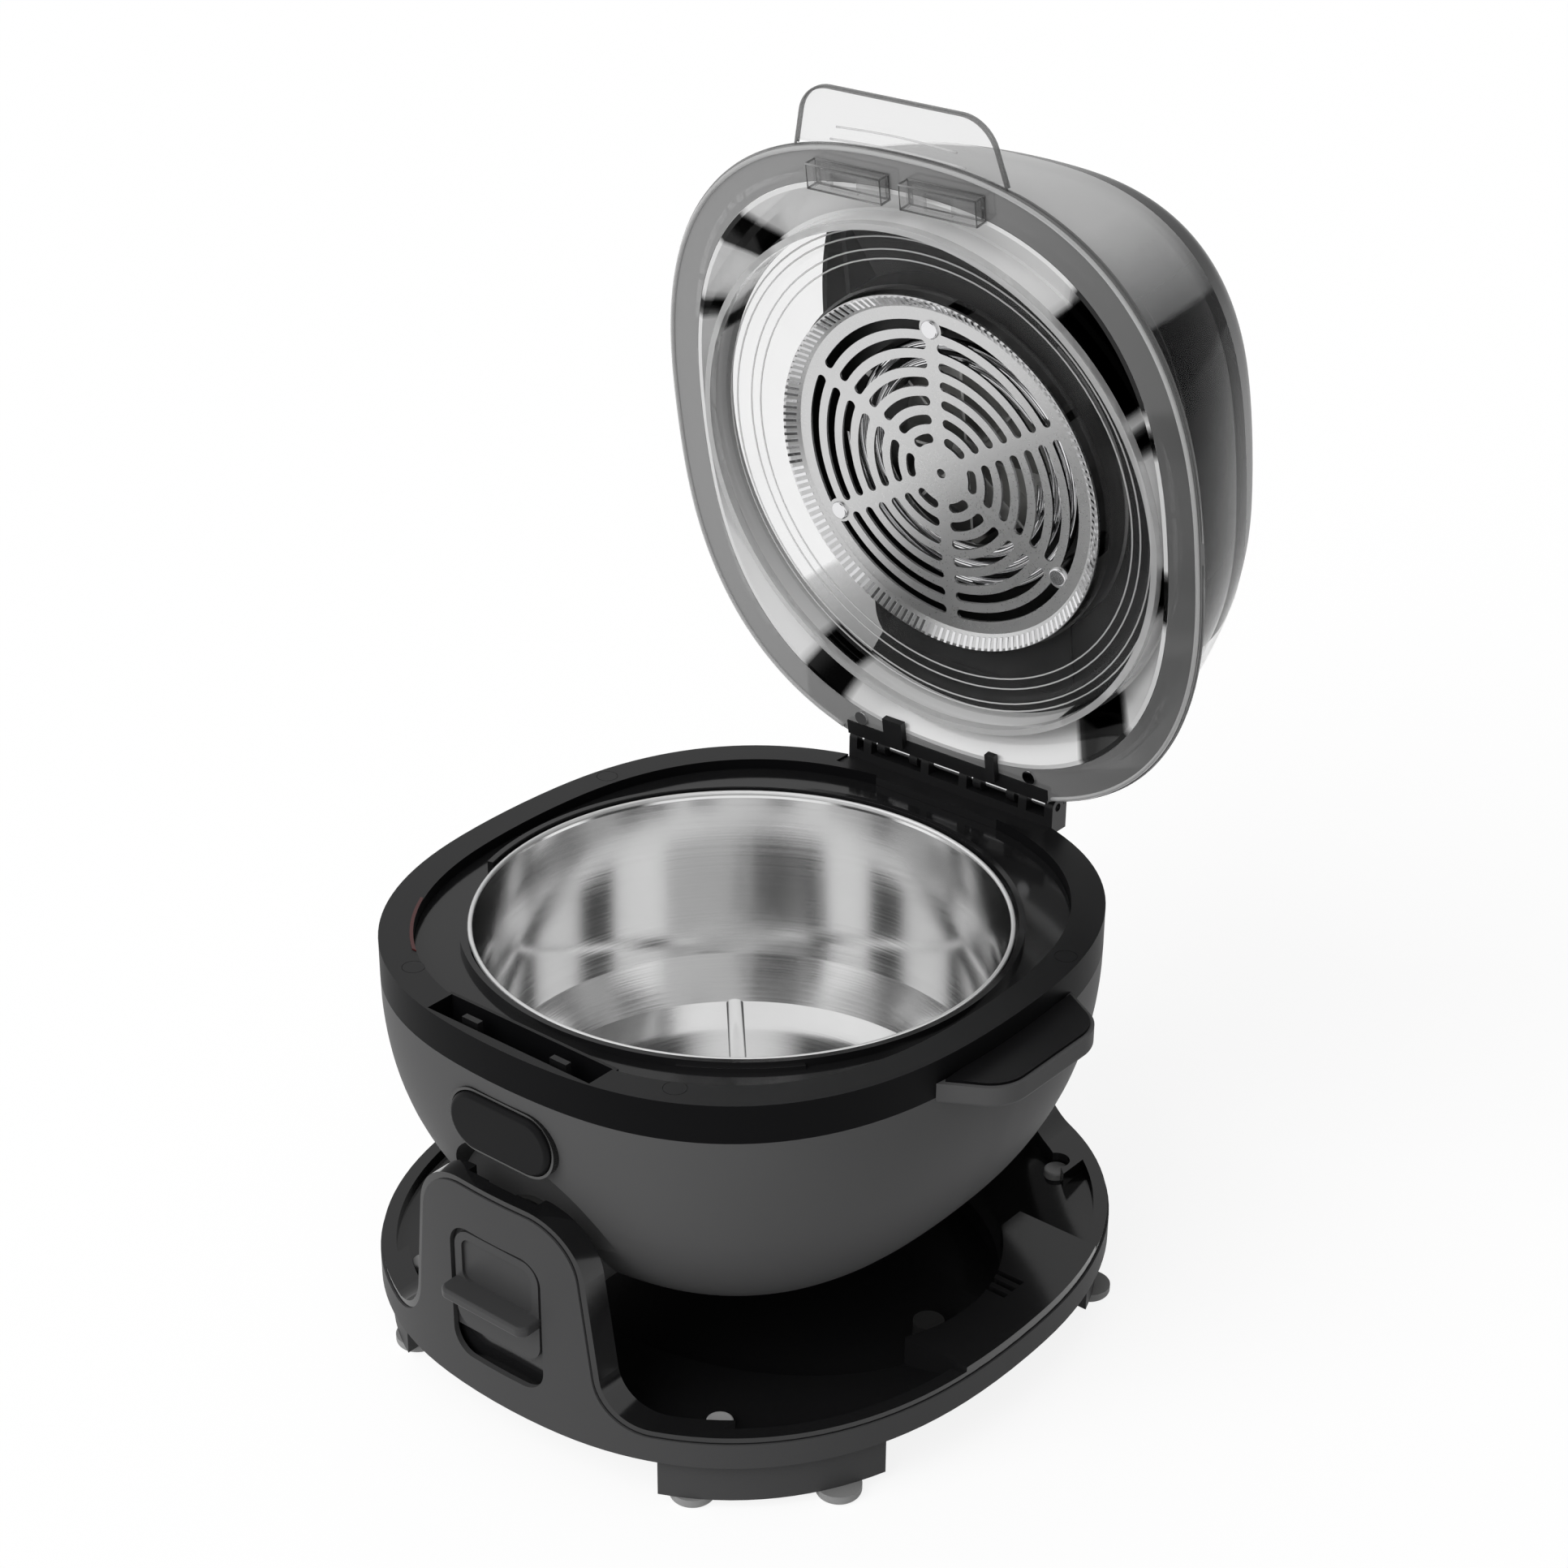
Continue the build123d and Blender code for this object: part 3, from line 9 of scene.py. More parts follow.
import bmesh
import bpy
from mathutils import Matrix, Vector


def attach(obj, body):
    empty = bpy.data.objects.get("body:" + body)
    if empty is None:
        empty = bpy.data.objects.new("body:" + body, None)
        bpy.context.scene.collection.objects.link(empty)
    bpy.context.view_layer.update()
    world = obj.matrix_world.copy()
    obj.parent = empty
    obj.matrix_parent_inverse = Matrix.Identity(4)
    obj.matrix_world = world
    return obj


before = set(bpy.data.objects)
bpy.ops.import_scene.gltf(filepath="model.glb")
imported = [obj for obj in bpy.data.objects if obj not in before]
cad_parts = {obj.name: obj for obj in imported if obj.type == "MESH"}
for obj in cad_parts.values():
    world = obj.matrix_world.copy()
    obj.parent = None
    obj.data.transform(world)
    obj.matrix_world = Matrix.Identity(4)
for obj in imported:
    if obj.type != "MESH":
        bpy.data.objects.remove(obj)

log = logging.getLogger("air_fryer_grill")

Rgb = tuple[float, float, float]
Rgba = tuple[float, float, float, float]
Point = tuple[float, float, float]
Stops = tuple[tuple[float, float], ...]
Value = Union[float, tuple, "Signal"]

AXIS_X = -0.006467
AXIS_Y = -0.0386974
"""Where the pot's upright axis stands, in metres."""
LID_PLANE_Z = 0.200
"""How high the closed lid's flange has its underside."""
PIN_Y = 0.1536 + AXIS_Y
PIN_Z = 0.2055
"""Where the hinge pin lies."""
OPEN_ANGLE = math.radians(-80.7)
"""How far the lid is turned about the pin at rest; closed is zero."""
POT_RIM_Z = 0.1946
RIM_HIGHLIGHT_BAND = 0.0024
# The top of the pot's rolled rim, and how far down white is painted onto it as a painted
# highlight.
"""The top of the pot's rolled rim, and how far down it shows the studio's white."""
LINER_PAINTED_DARK = ((0.153, 0.183), (0.342, 0.383), (0.458, 0.489), (0.558, 0.571), (0.579, 0.647),
              (0.856, 0.881), (0.919, 0.931))
# Parts of a turn round the lid's liner where dark is painted on as a painted reflection; the rest
# is painted white.
"""Parts of a turn round the lid's liner that mirror something dark."""

AHEAD = (-0.645, 0.764)
RIGHT = (AHEAD[1], -AHEAD[0])
"""Level ways as the camera has them: straight ahead and to its right."""
SKY_STOPS: Stops = ((0.0, 1.1), (0.5, 1.0), (0.85, 0.3))
"""The soft sky from the camera's left to its right, as shares of its strength."""
WALL_STOPS: Stops = ((0.0, 0.90), (0.10, 0.85), (0.14, 0.06), (0.28, 0.08), (0.34, 0.95),
                     (0.62, 1.0), (0.72, 0.60), (1.0, 0.55))
"""The mirrored studio's walls, from behind the camera to straight ahead of it."""
ROOF_STOPS: Stops = ((0.0, 0.0), (0.72, 0.0), (0.80, 0.9))
"""The mirrored studio's light above, by how steeply the mirror looks up."""


def grey(value: float) -> Rgba:
    """A grey with full cover."""
    return (value, value, value, 1.0)


def rgba(color: Rgb, gain: float = 1.0) -> Rgba:
    """A colour with full cover, made lighter or darker."""
    return (color[0] * gain, color[1] * gain, color[2] * gain, 1.0)


def turns(count: int) -> list[float]:
    """Angles that share a full turn evenly, in radians."""
    return [2 * math.pi * i / count for i in range(count)]


class Signal:
    """A number that a node puts out, so that shader maths reads as plain Python."""

    def __init__(self, shader: "Shader", socket: Union[bpy.types.NodeSocket, None]) -> None:
        """Keep the socket, if there is one, and the shader that it belongs to."""
        self.shader = shader
        self.socket = socket

    def _maths(self, operation: str, left: Value, right: Value) -> "Signal":
        """Add one Math node.

        Args:
            operation: the Math node's operation.
            left: its first value.
            right: its second value.

        Returns:
            The node's output.
        """
        return self.shader.node("ShaderNodeMath", {"operation": operation}, {0: left, 1: right})

    def __add__(self, other: Value) -> "Signal":
        """Sum."""
        return self._maths("ADD", self, other)

    def __mul__(self, other: Value) -> "Signal":
        """Product."""
        return self._maths("MULTIPLY", self, other)

    def __sub__(self, other: Value) -> "Signal":
        """Difference."""
        return self._maths("SUBTRACT", self, other)

    def __rsub__(self, other: Value) -> "Signal":
        """Difference from a plain number."""
        return self._maths("SUBTRACT", other, self)

    def __truediv__(self, other: Value) -> "Signal":
        """Quotient."""
        return self._maths("DIVIDE", self, other)

    def __pow__(self, other: Value) -> "Signal":
        """Power."""
        return self._maths("POWER", self, other)

    def at_least(self, other: Value) -> "Signal":
        """The larger of two values."""
        return self._maths("MAXIMUM", self, other)

    def above(self, other: Value) -> "Signal":
        """One where this is the larger, else zero."""
        return self._maths("GREATER_THAN", self, other)

    def turn_of(self, other: Value) -> "Signal":
        """The angle whose rise is this value and whose run is the other."""
        return self._maths("ARCTAN2", self, other)


class Shader:
    """A node tree that is filled through one method."""

    def __init__(self, owner: Union[bpy.types.Material, bpy.types.World]) -> None:
        """Start the owner's tree afresh, with no nodes.

        Args:
            owner: the material or world that the nodes are for.
        """
        owner.use_nodes = True
        self.tree = owner.node_tree
        self.tree.nodes.clear()

    def node(self, kind: str, settings: dict[str, object], inputs: dict[Union[int, str], Value],
             output: Union[int, str] = 0) -> Signal:
        """Add a node, set it and join it up.

        Args:
            kind: the node's type.
            settings: its own options, set before its sockets; a ramp's stops are one of them.
            inputs: values or links by socket name or number.
            output: which socket to hand back.

        Returns:
            The chosen output, or an empty one from a node that has none.
        """
        made = self.tree.nodes.new(kind)
        for key, value in settings.items():
            if key == "stops":
                self._fill_ramp(made.color_ramp, value)
            else:
                setattr(made, key, value)
        for key, value in inputs.items():
            if isinstance(value, Signal):
                self.tree.links.new(value.socket, made.inputs[key])
            else:
                made.inputs[key].default_value = value
        return Signal(self, made.outputs[output] if len(made.outputs) else None)

    @staticmethod
    def _fill_ramp(ramp: bpy.types.ColorRamp, stops: list[tuple[float, Rgba]]) -> None:
        """Set a ramp's stops.

        Args:
            ramp: the ramp to fill.
            stops: places and colours, in order.
        """
        while len(ramp.elements) < len(stops):
            ramp.elements.new(1.0)
        for element, (place, color) in zip(ramp.elements, stops):
            element.position = place
            element.color = color

    def place(self) -> Signal:
        """Where a point of the surface is, in the object's own metres."""
        return self.node("ShaderNodeTexCoord", {}, {}, "Object")

    def ray(self, kind: str) -> Signal:
        """One for rays of a kind, else zero."""
        return self.node("ShaderNodeLightPath", {}, {}, f"Is {kind} Ray")

    def seen(self) -> Signal:
        """One for what the camera sees straight on or through glass, else zero."""
        return self.ray("Camera").at_least(self.ray("Transmission"))

    def part_of(self, vector: Signal, axis: int) -> Signal:
        """One number of a place or direction."""
        return self.node("ShaderNodeSeparateXYZ", {}, {0: vector}, axis)

    def toward(self, direction: Signal, way: tuple[float, float]) -> Signal:
        """How far a direction keeps to a level way: zero is straight against it, one along it."""
        kept = self.part_of(direction, 0) * way[0] + self.part_of(direction, 1) * way[1]
        return kept * 0.5 + 0.5

    def rise(self) -> Signal:
        """How far the surface faces up, from minus one to one."""
        return self.part_of(self.node("ShaderNodeNewGeometry", {}, {}, "Normal"), 2)

    def ramp(self, where: Signal, stops: Iterable[tuple[float, float]]) -> Signal:
        """Grey levels along a value.

        Args:
            where: the value, from zero to one.
            stops: places and grey levels, in order.

        Returns:
            The level.
        """
        filled = [(place, grey(level)) for place, level in stops]
        return self.node("ShaderNodeValToRGB", {"stops": filled}, {0: where})

    def noise(self, where: Signal, scale: float, detail: float = 3.0) -> Signal:
        """A noise value.

        Args:
            where: the place to read it at.
            scale: bumps per metre.
            detail: how many finer layers it has.

        Returns:
            A value around one half.
        """
        return self.node("ShaderNodeTexNoise", {},
                         {"Vector": where, "Scale": scale, "Detail": detail}, "Fac")

    def stretch(self, where: Signal, scale: Point) -> Signal:
        """The place, stretched along each axis."""
        return self.node("ShaderNodeVectorMath", {"operation": "MULTIPLY"}, {0: where, 1: scale})

    def blend(self, share: Value, first: Value, second: Value, mode: str = "MIX") -> Signal:
        """Mix two colours by a share."""
        return self.node("ShaderNodeMix", {"data_type": "RGBA", "blend_type": mode},
                         {0: share, 6: first, 7: second}, 2)

    def bump(self, height: Value, strength: float, depth: float) -> Signal:
        """Turn a height into a surface direction.

        Args:
            height: the height, from zero to one.
            strength: how much of it shows.
            depth: how deep one is, in metres.

        Returns:
            The surface direction.
        """
        return self.node("ShaderNodeBump", {},
                         {"Strength": strength, "Distance": depth, "Height": height})

    def show(self, output: str, surface: Signal) -> None:
        """Join a surface to an output node of the tree."""
        self.node(output, {}, {"Surface": surface})


class Grain(Enum):
    """Which way the brushing of a metal piece runs."""

    ROUND = "round"
    LEVEL = "level"
    FINE = "fine"


BRUSH_MARKS: dict[Grain, Point] = {
    Grain.ROUND: (900.0, 900.0, 900.0), Grain.LEVEL: (25.0, 25.0, 1800.0),
    Grain.FINE: (900.0, 900.0, 900.0),
}
"""Brush marks per metre along each axis."""


@dataclass(frozen=True)
class Finish:
    """A surface finish; each kind fills in its own nodes."""

    name: str
    color: Rgb

    BUMP_DEPTH: ClassVar[float] = 0.0002

    def material(self) -> bpy.types.Material:
        """Build the material once and hand it back.

        Returns:
            The material with this finish's nodes.
        """
        found = bpy.data.materials.get(self.name)
        if found is not None:
            return found
        made = bpy.data.materials.new(self.name)
        shader = Shader(made)
        shader.show("ShaderNodeOutputMaterial", self.fill(shader))
        return made

    def fill(self, shader: Shader) -> Signal:
        """Add the finish's nodes and hand back the surface that they make."""
        raise NotImplementedError


@dataclass(frozen=True)
class Plastic(Finish):
    """Moulded plastic or rubber, with a fine grain and faint clouding from the mould."""

    roughness: float = 0.5
    grain: float = 0.2
    grain_scale: float = 1500.0
    cloud: float = 0.06
    # painted sheen: a gloss coat on upward faces only, so the tops catch reflections that the
    # sides don't
    painted_top_gloss: float = 0.0
    shine: float = 0.5

    CLOUD_SCALE: ClassVar[float] = 14.0
    CLOUD_ROUGH: ClassVar[float] = 0.08
    GRAIN_ROUGH: ClassVar[float] = 0.06
    COAT_ROUGH: ClassVar[float] = 0.3
    COAT_FALL: ClassVar[float] = 2.0

    def fill(self, shader: Shader) -> Signal:
        """Put grain into the surface direction, and clouding into colour and gloss.

        Args:
            shader: the tree to add to.

        Returns:
            The plastic, with a gloss coat on upward faces only, a painted sheen, where the finish
            has one.
        """
        where = shader.place()
        cloud = shader.noise(where, self.CLOUD_SCALE)
        grain = shader.noise(where, self.grain_scale, 2.0)
        even = self.roughness - (self.CLOUD_ROUGH + self.GRAIN_ROUGH) / 2
        inputs: dict[Union[int, str], Value] = {
            "Base Color": shader.blend(cloud, rgba(self.color, 1 - self.cloud),
                                       rgba(self.color, 1 + self.cloud)),
            "Roughness": cloud * self.CLOUD_ROUGH + grain * self.GRAIN_ROUGH + even,
            "Specular IOR Level": self.shine,
            "Normal": shader.bump(grain, self.grain, self.BUMP_DEPTH)}
        # painted sheen: the coat grows as faces turn upward
        if self.painted_top_gloss:
            inputs["Coat Weight"] = shader.rise().at_least(0.0) ** self.COAT_FALL * self.painted_top_gloss
            inputs["Coat Roughness"] = self.COAT_ROUGH
        return shader.node("ShaderNodeBsdfPrincipled", {}, inputs)


@dataclass(frozen=True)
class Steel(Finish):
    """Brushed or polished metal; where the finish asks for it, white and dark are painted into its
    colour as painted reflections.
    """

    roughness: float = 0.25
    brush: Grain = Grain.FINE
    depth: float = 0.15
    # painted highlight: above this height the metal is painted white
    painted_white_above: float = 0.0
    # painted reflection: turns round the liner that are painted dark, with the rest painted white
    painted_dark_turns: Stops = ()

    SMUDGE_SCALE: ClassVar[float] = 22.0
    SMUDGE_ROUGH: ClassVar[float] = 0.06
    SMUDGE_DARK: ClassVar[float] = 0.93
    SMUDGE_LIGHT: ClassVar[float] = 1.05
    STREAK_ROUGH: ClassVar[float] = 0.18
    LEAST_ROUGH: ClassVar[float] = 0.03
    # how much white is painted onto the pot's rim as a painted highlight
    RIM_PAINTED_WHITE: ClassVar[float] = 0.6
    # how much white is painted onto the liner as a painted reflection
    LINER_PAINTED_WHITE: ClassVar[float] = 0.85
    TURN_SOFT: ClassVar[float] = 0.002
    # greys of the painted reflections: white on the pot's rim and the liner, dark on the liner
    PAINTED_WHITE: ClassVar[float] = 0.95
    PAINTED_DARK: ClassVar[float] = 0.03

    def painted_reflection(self, shader: Shader, where: Signal) -> Signal:
        """Where white is painted onto the metal as a painted reflection.

        Args:
            shader: the tree to add to.
            where: the place on the surface.

        Returns:
            The painted white's share, which is zero where dark is painted instead.
        """
        z = shader.part_of(where, 2)
        # painted highlight: the pot's rim is painted white above a height
        if self.painted_white_above:
            return (z - self.painted_white_above).above(0.0) * self.RIM_PAINTED_WHITE
        # painted reflection on the liner: white and dark bands painted by the angle round the
        # pot's axis
        y = shader.part_of(where, 1)
        up = (y - PIN_Y) * math.cos(OPEN_ANGLE) + (z - PIN_Z) * math.sin(OPEN_ANGLE)
        angle = (up + (PIN_Y - AXIS_Y)).turn_of(shader.part_of(where, 0) - AXIS_X)
        stops = [(0.0, 1.0)]
        for low, high in self.painted_dark_turns:
            stops += [(low - self.TURN_SOFT, 1.0), (low + self.TURN_SOFT, 0.0),
                      (high - self.TURN_SOFT, 0.0), (high + self.TURN_SOFT, 1.0)]
        return shader.ramp(angle * (-0.5 / math.pi) + 0.5, stops) * self.LINER_PAINTED_WHITE

    def streaks(self, shader: Shader, where: Signal) -> Signal:
        """The brush marks.

        Args:
            shader: the tree to add to.
            where: the place on the surface.

        Returns:
            A value around one half that runs along the brushing.
        """
        if self.brush is Grain.ROUND:
            x = shader.part_of(where, 0) - AXIS_X
            y = shader.part_of(where, 1) - AXIS_Y
            radius = (x * x + y * y) ** 0.5
            where = shader.node("ShaderNodeCombineXYZ", {},
                                {0: radius, 1: shader.part_of(where, 2), 2: 0.0})
        return shader.noise(shader.stretch(where, BRUSH_MARKS[self.brush]), 1.0)

    def fill(self, shader: Shader) -> Signal:
        """Put brush marks into gloss and surface direction, smudges into colour, and painted
        reflections into colour where the finish has them.

        Args:
            shader: the tree to add to.

        Returns:
            The metal.
        """
        where = shader.place()
        streaks = self.streaks(shader, where)
        smudge = shader.noise(where, self.SMUDGE_SCALE)
        color: Value = shader.blend(smudge, rgba(self.color, self.SMUDGE_DARK),
                                    rgba(self.color, self.SMUDGE_LIGHT))
        even = self.roughness - self.SMUDGE_ROUGH / 2
        rough = (streaks - 0.5) * self.STREAK_ROUGH + smudge * self.SMUDGE_ROUGH + even
        metallic: Value = 1.0
        # painted reflection: white, and on the liner dark, mixed into the colour
        if self.painted_white_above or self.painted_dark_turns:
            painted_reflection = self.painted_reflection(shader, where)
            metallic = 1.0 - painted_reflection
            painted_dark_or_own_color = grey(self.PAINTED_DARK) if self.painted_dark_turns else color
            color = shader.blend(painted_reflection, painted_dark_or_own_color, grey(self.PAINTED_WHITE))
        return shader.node("ShaderNodeBsdfPrincipled", {}, {
            "Base Color": color, "Metallic": metallic,
            "Roughness": rough.at_least(self.LEAST_ROUGH),
            "Normal": shader.bump(streaks, self.depth, self.BUMP_DEPTH)})


@dataclass(frozen=True)
class Clear(Finish):
    """Clear moulded plastic: see-through square on, greyer and glossier at a glance."""

    body: float = 0.25
    edge: float = 1.0
    straight: float = 0.04
    fall: float = 4.0
    roughness: float = 0.04
    thin_above: float = 0.0
    # painted sheen: upward faces are painted light grey and made less see-through
    painted_top_light: float = 0.0
    # painted dark reflection: the colour darkens towards +x across the piece
    painted_side_dark: float = 0.0

    RIPPLE_SCALE: ClassVar[float] = 30.0
    RIPPLE_TINT: ClassVar[float] = 0.04
    RIPPLE_ROUGH: ClassVar[float] = 0.05
    RIPPLE_BUMP: ClassVar[float] = 0.05
    RIPPLE_DEPTH: ClassVar[float] = 0.001
    GLANCE: ClassVar[float] = 0.96
    PASSED: ClassVar[float] = 0.985
    MIRROR: ClassVar[float] = 0.95
    GRIP_THIN: ClassVar[float] = 0.9
    GRIP_CURVE: ClassVar[float] = 1.9
    TABS_THIN: ClassVar[float] = 0.75
    TABS_BELOW: ClassVar[float] = 0.0004
    # painted dark reflection across the flange: its spread along x, its shares and its grey
    SIDE_DARK_PER_METRE: ClassVar[float] = 3.3
    SIDE_DARK_STOPS: ClassVar[Stops] = ((0.0, 0.0), (0.45, 0.1), (0.8, 0.75), (1.0, 1.0))
    SIDE_DARK_GREY: ClassVar[float] = 0.02
    # painted sheen on upward faces: its share by how far a face looks up, and its grey
    PAINTED_TOP_STOPS: ClassVar[Stops] = ((0.0, 0.0), (0.50, 0.0), (0.53, 0.35), (0.9, 1.0))
    PAINTED_TOP_GREY: ClassVar[float] = 0.75

    def below(self, shader: Shader, where: Signal) -> Signal:
        """Where the catch tabs hang below the flange.

        Args:
            shader: the tree to add to.
            where: the place on the surface.

        Returns:
            One below the flange's underside, else zero.
        """
        y = shader.part_of(where, 1) - PIN_Y
        z = shader.part_of(where, 2) - PIN_Z
        height = y * -math.sin(OPEN_ANGLE) + z * math.cos(OPEN_ANGLE)
        return (LID_PLANE_Z - PIN_Z - self.TABS_BELOW - height).above(0.0)

    def grip(self, shader: Shader, where: Signal) -> Signal:
        """Where the thin hand grip is.

        Args:
            shader: the tree to add to.
            where: the place on the surface.

        Returns:
            One on the grip, beyond the flange's rounded front, else zero.
        """
        x = shader.part_of(where, 0) - AXIS_X
        return (shader.part_of(where, 2) + x * x * self.GRIP_CURVE).above(self.thin_above)

    def fill(self, shader: Shader) -> Signal:
        """Mix a see-through surface with a glossy grey one by the viewing angle.

        Args:
            shader: the tree to add to.

        Returns:
            The clear plastic.
        """
        where = shader.place()
        ripple = shader.noise(where, self.RIPPLE_SCALE, 2.0)
        facing = shader.node("ShaderNodeLayerWeight", {}, {"Blend": 0.5}, "Facing")
        mirror = (facing ** self.fall * self.GLANCE + self.straight) * self.edge
        tint = ripple * self.RIPPLE_TINT + (self.body - self.RIPPLE_TINT / 2)
        if self.thin_above:
            thin = (self.grip(shader, where) * self.GRIP_THIN
                    + self.below(shader, where) * self.TABS_THIN)
            tint = tint * (1.0 - thin)
        color: Value = rgba(self.color)
        # painted dark reflection, darker towards +x
        if self.painted_side_dark:
            across = (shader.part_of(where, 0) - AXIS_X) * self.SIDE_DARK_PER_METRE + 0.5
            side_dark = shader.ramp(across, self.SIDE_DARK_STOPS) * self.painted_side_dark
            color = shader.blend(side_dark, color, grey(self.SIDE_DARK_GREY))
        # painted sheen: faces that look up are painted light grey
        if self.painted_top_light:
            top = shader.ramp(shader.rise(), self.PAINTED_TOP_STOPS)
            tint = tint + top * self.painted_top_light
            color = shader.blend(top, color, grey(self.PAINTED_TOP_GREY))
        share = mirror + tint
        metallic = mirror / share
        through = shader.node("ShaderNodeBsdfTransparent", {}, {"Color": grey(self.PASSED)})
        gloss = shader.node("ShaderNodeBsdfPrincipled", {}, {
            "Base Color": shader.blend(metallic, color, grey(self.MIRROR)), "Metallic": metallic,
            "Roughness": ripple * self.RIPPLE_ROUGH + self.roughness,
            "Normal": shader.bump(ripple, self.RIPPLE_BUMP, self.RIPPLE_DEPTH)})
        return shader.node("ShaderNodeMixShader", {}, {0: share, 1: through, 2: gloss})


BASE_GREY = Plastic("base_grey_plastic", (0.072, 0.072, 0.073), roughness=0.52, grain=0.12,
                    shine=0.08)
BOWL_GREY = Plastic("bowl_grey_plastic", (0.099, 0.099, 0.100), roughness=0.50, grain=0.10,
                    shine=0.08)
LEVER_GREY = Plastic("lever_grey_plastic", (0.058, 0.058, 0.059), roughness=0.42, grain=0.10,
                     shine=0.2)
GLOSS_BLACK = Plastic("gloss_black_plastic", (0.011, 0.011, 0.0115), roughness=0.12, grain=0.02,
                      grain_scale=300.0)
# the collar's upward faces carry a painted sheen
COLLAR_DARK = Plastic("collar_dark_plastic", (0.006, 0.006, 0.0065), roughness=0.45, grain=0.05,
                      shine=0.04, painted_top_gloss=0.6)
BUTTON_DARK = Plastic("button_dark_plastic", (0.009, 0.009, 0.0095), roughness=0.42, grain=0.08,
                      shine=0.08)
MATTE_BLACK = Plastic("hinge_black_plastic", (0.008, 0.008, 0.0085), roughness=0.45, grain=0.12)
RUBBER = Plastic("foot_rubber", (0.30, 0.30, 0.30), roughness=0.62, grain=0.25, cloud=0.1)
BUMPER = Plastic("bumper_rubber", (0.015, 0.015, 0.015), roughness=0.7, grain=0.25)
CAP_GREY = Plastic("screw_cap_grey", (0.42, 0.42, 0.42), roughness=0.35, grain=0.06)
BOARD_GREEN = Plastic("board_green", (0.02, 0.09, 0.045), roughness=0.4, grain=0.3,
                      grain_scale=500.0)
LENS_RED = Plastic("lens_red", (0.07, 0.004, 0.004), roughness=0.15, grain=0.02)
HOUSING = Plastic("lid_housing_black", (0.008, 0.008, 0.0085), roughness=0.35, grain=0.01,
                  shine=0.1)
CAP_SHELL = Plastic("lid_cap_black", (0.004, 0.004, 0.0045), roughness=0.25, grain=0.02,
                    shine=0.1)
# the pot's rim is painted white as a painted highlight
POT_STEEL = Steel("pot_steel", (0.86, 0.86, 0.86), roughness=0.13, brush=Grain.ROUND, depth=0.06,
                  painted_white_above=POT_RIM_Z - RIM_HIGHLIGHT_BAND)
# the liner carries painted reflections, dark and white bands round it
LINER = Steel("polished_liner", (0.80, 0.80, 0.81), roughness=0.10, depth=0.01,
              painted_dark_turns=LINER_PAINTED_DARK)
GUARD_STEEL = Steel("guard_steel", (0.66, 0.66, 0.66), roughness=0.30, depth=0.10)
PLAIN_STEEL = Steel("plain_steel", (0.50, 0.50, 0.49), roughness=0.34, brush=Grain.LEVEL,
                    depth=0.12)
POLISHED = Steel("polished_steel", (0.80, 0.80, 0.81), roughness=0.05, depth=0.01)
BEZEL = Steel("bezel_dark_chrome", (0.10, 0.10, 0.10), roughness=0.25, depth=0.02)
DRUM = Steel("drum_dark_steel", (0.10, 0.10, 0.10), roughness=0.35, brush=Grain.LEVEL, depth=0.05)
# dark band behind the guard's teeth: painted shade between the teeth
TOOTH_SHADE_BED = Steel("guard_tooth_shade_bed", (0.10, 0.10, 0.10), roughness=0.5, depth=0.05)
CAST = Steel("cast_aluminium", (0.45, 0.45, 0.45), roughness=0.45, depth=0.3)
# the clear flange carries a painted dark reflection towards +x
CLEAR_FLANGE = Clear("clear_flange", (0.31, 0.31, 0.31), body=0.80, edge=0.5, thin_above=0.509,
                     painted_side_dark=0.75)
# the dome's upward faces carry a painted sheen
CLEAR_DOME = Clear("clear_dome", (0.30, 0.305, 0.31), body=0.021, edge=0.9, straight=0.005,
                   fall=7.0, painted_top_light=0.7)
CLEAR_WINDOW = Clear("clear_window", (0.45, 0.45, 0.45), body=0.021, edge=0.35, straight=0.02)
# pale clear trim: painted highlights along beads and moulded lines
CLEAR_PALE_HIGHLIGHT = Clear("clear_edge_painted_highlight", (0.80, 0.80, 0.80), body=0.45, edge=1.2)
# dark clear trim: painted shade along clear edges
CLEAR_DARK_EDGE_SHADE = Clear("clear_line_painted_shade", (0.10, 0.10, 0.10), body=0.55, edge=0.6)
CLEAR_SEAL = Clear("clear_seal", (0.75, 0.75, 0.75), body=0.45, edge=0.8)

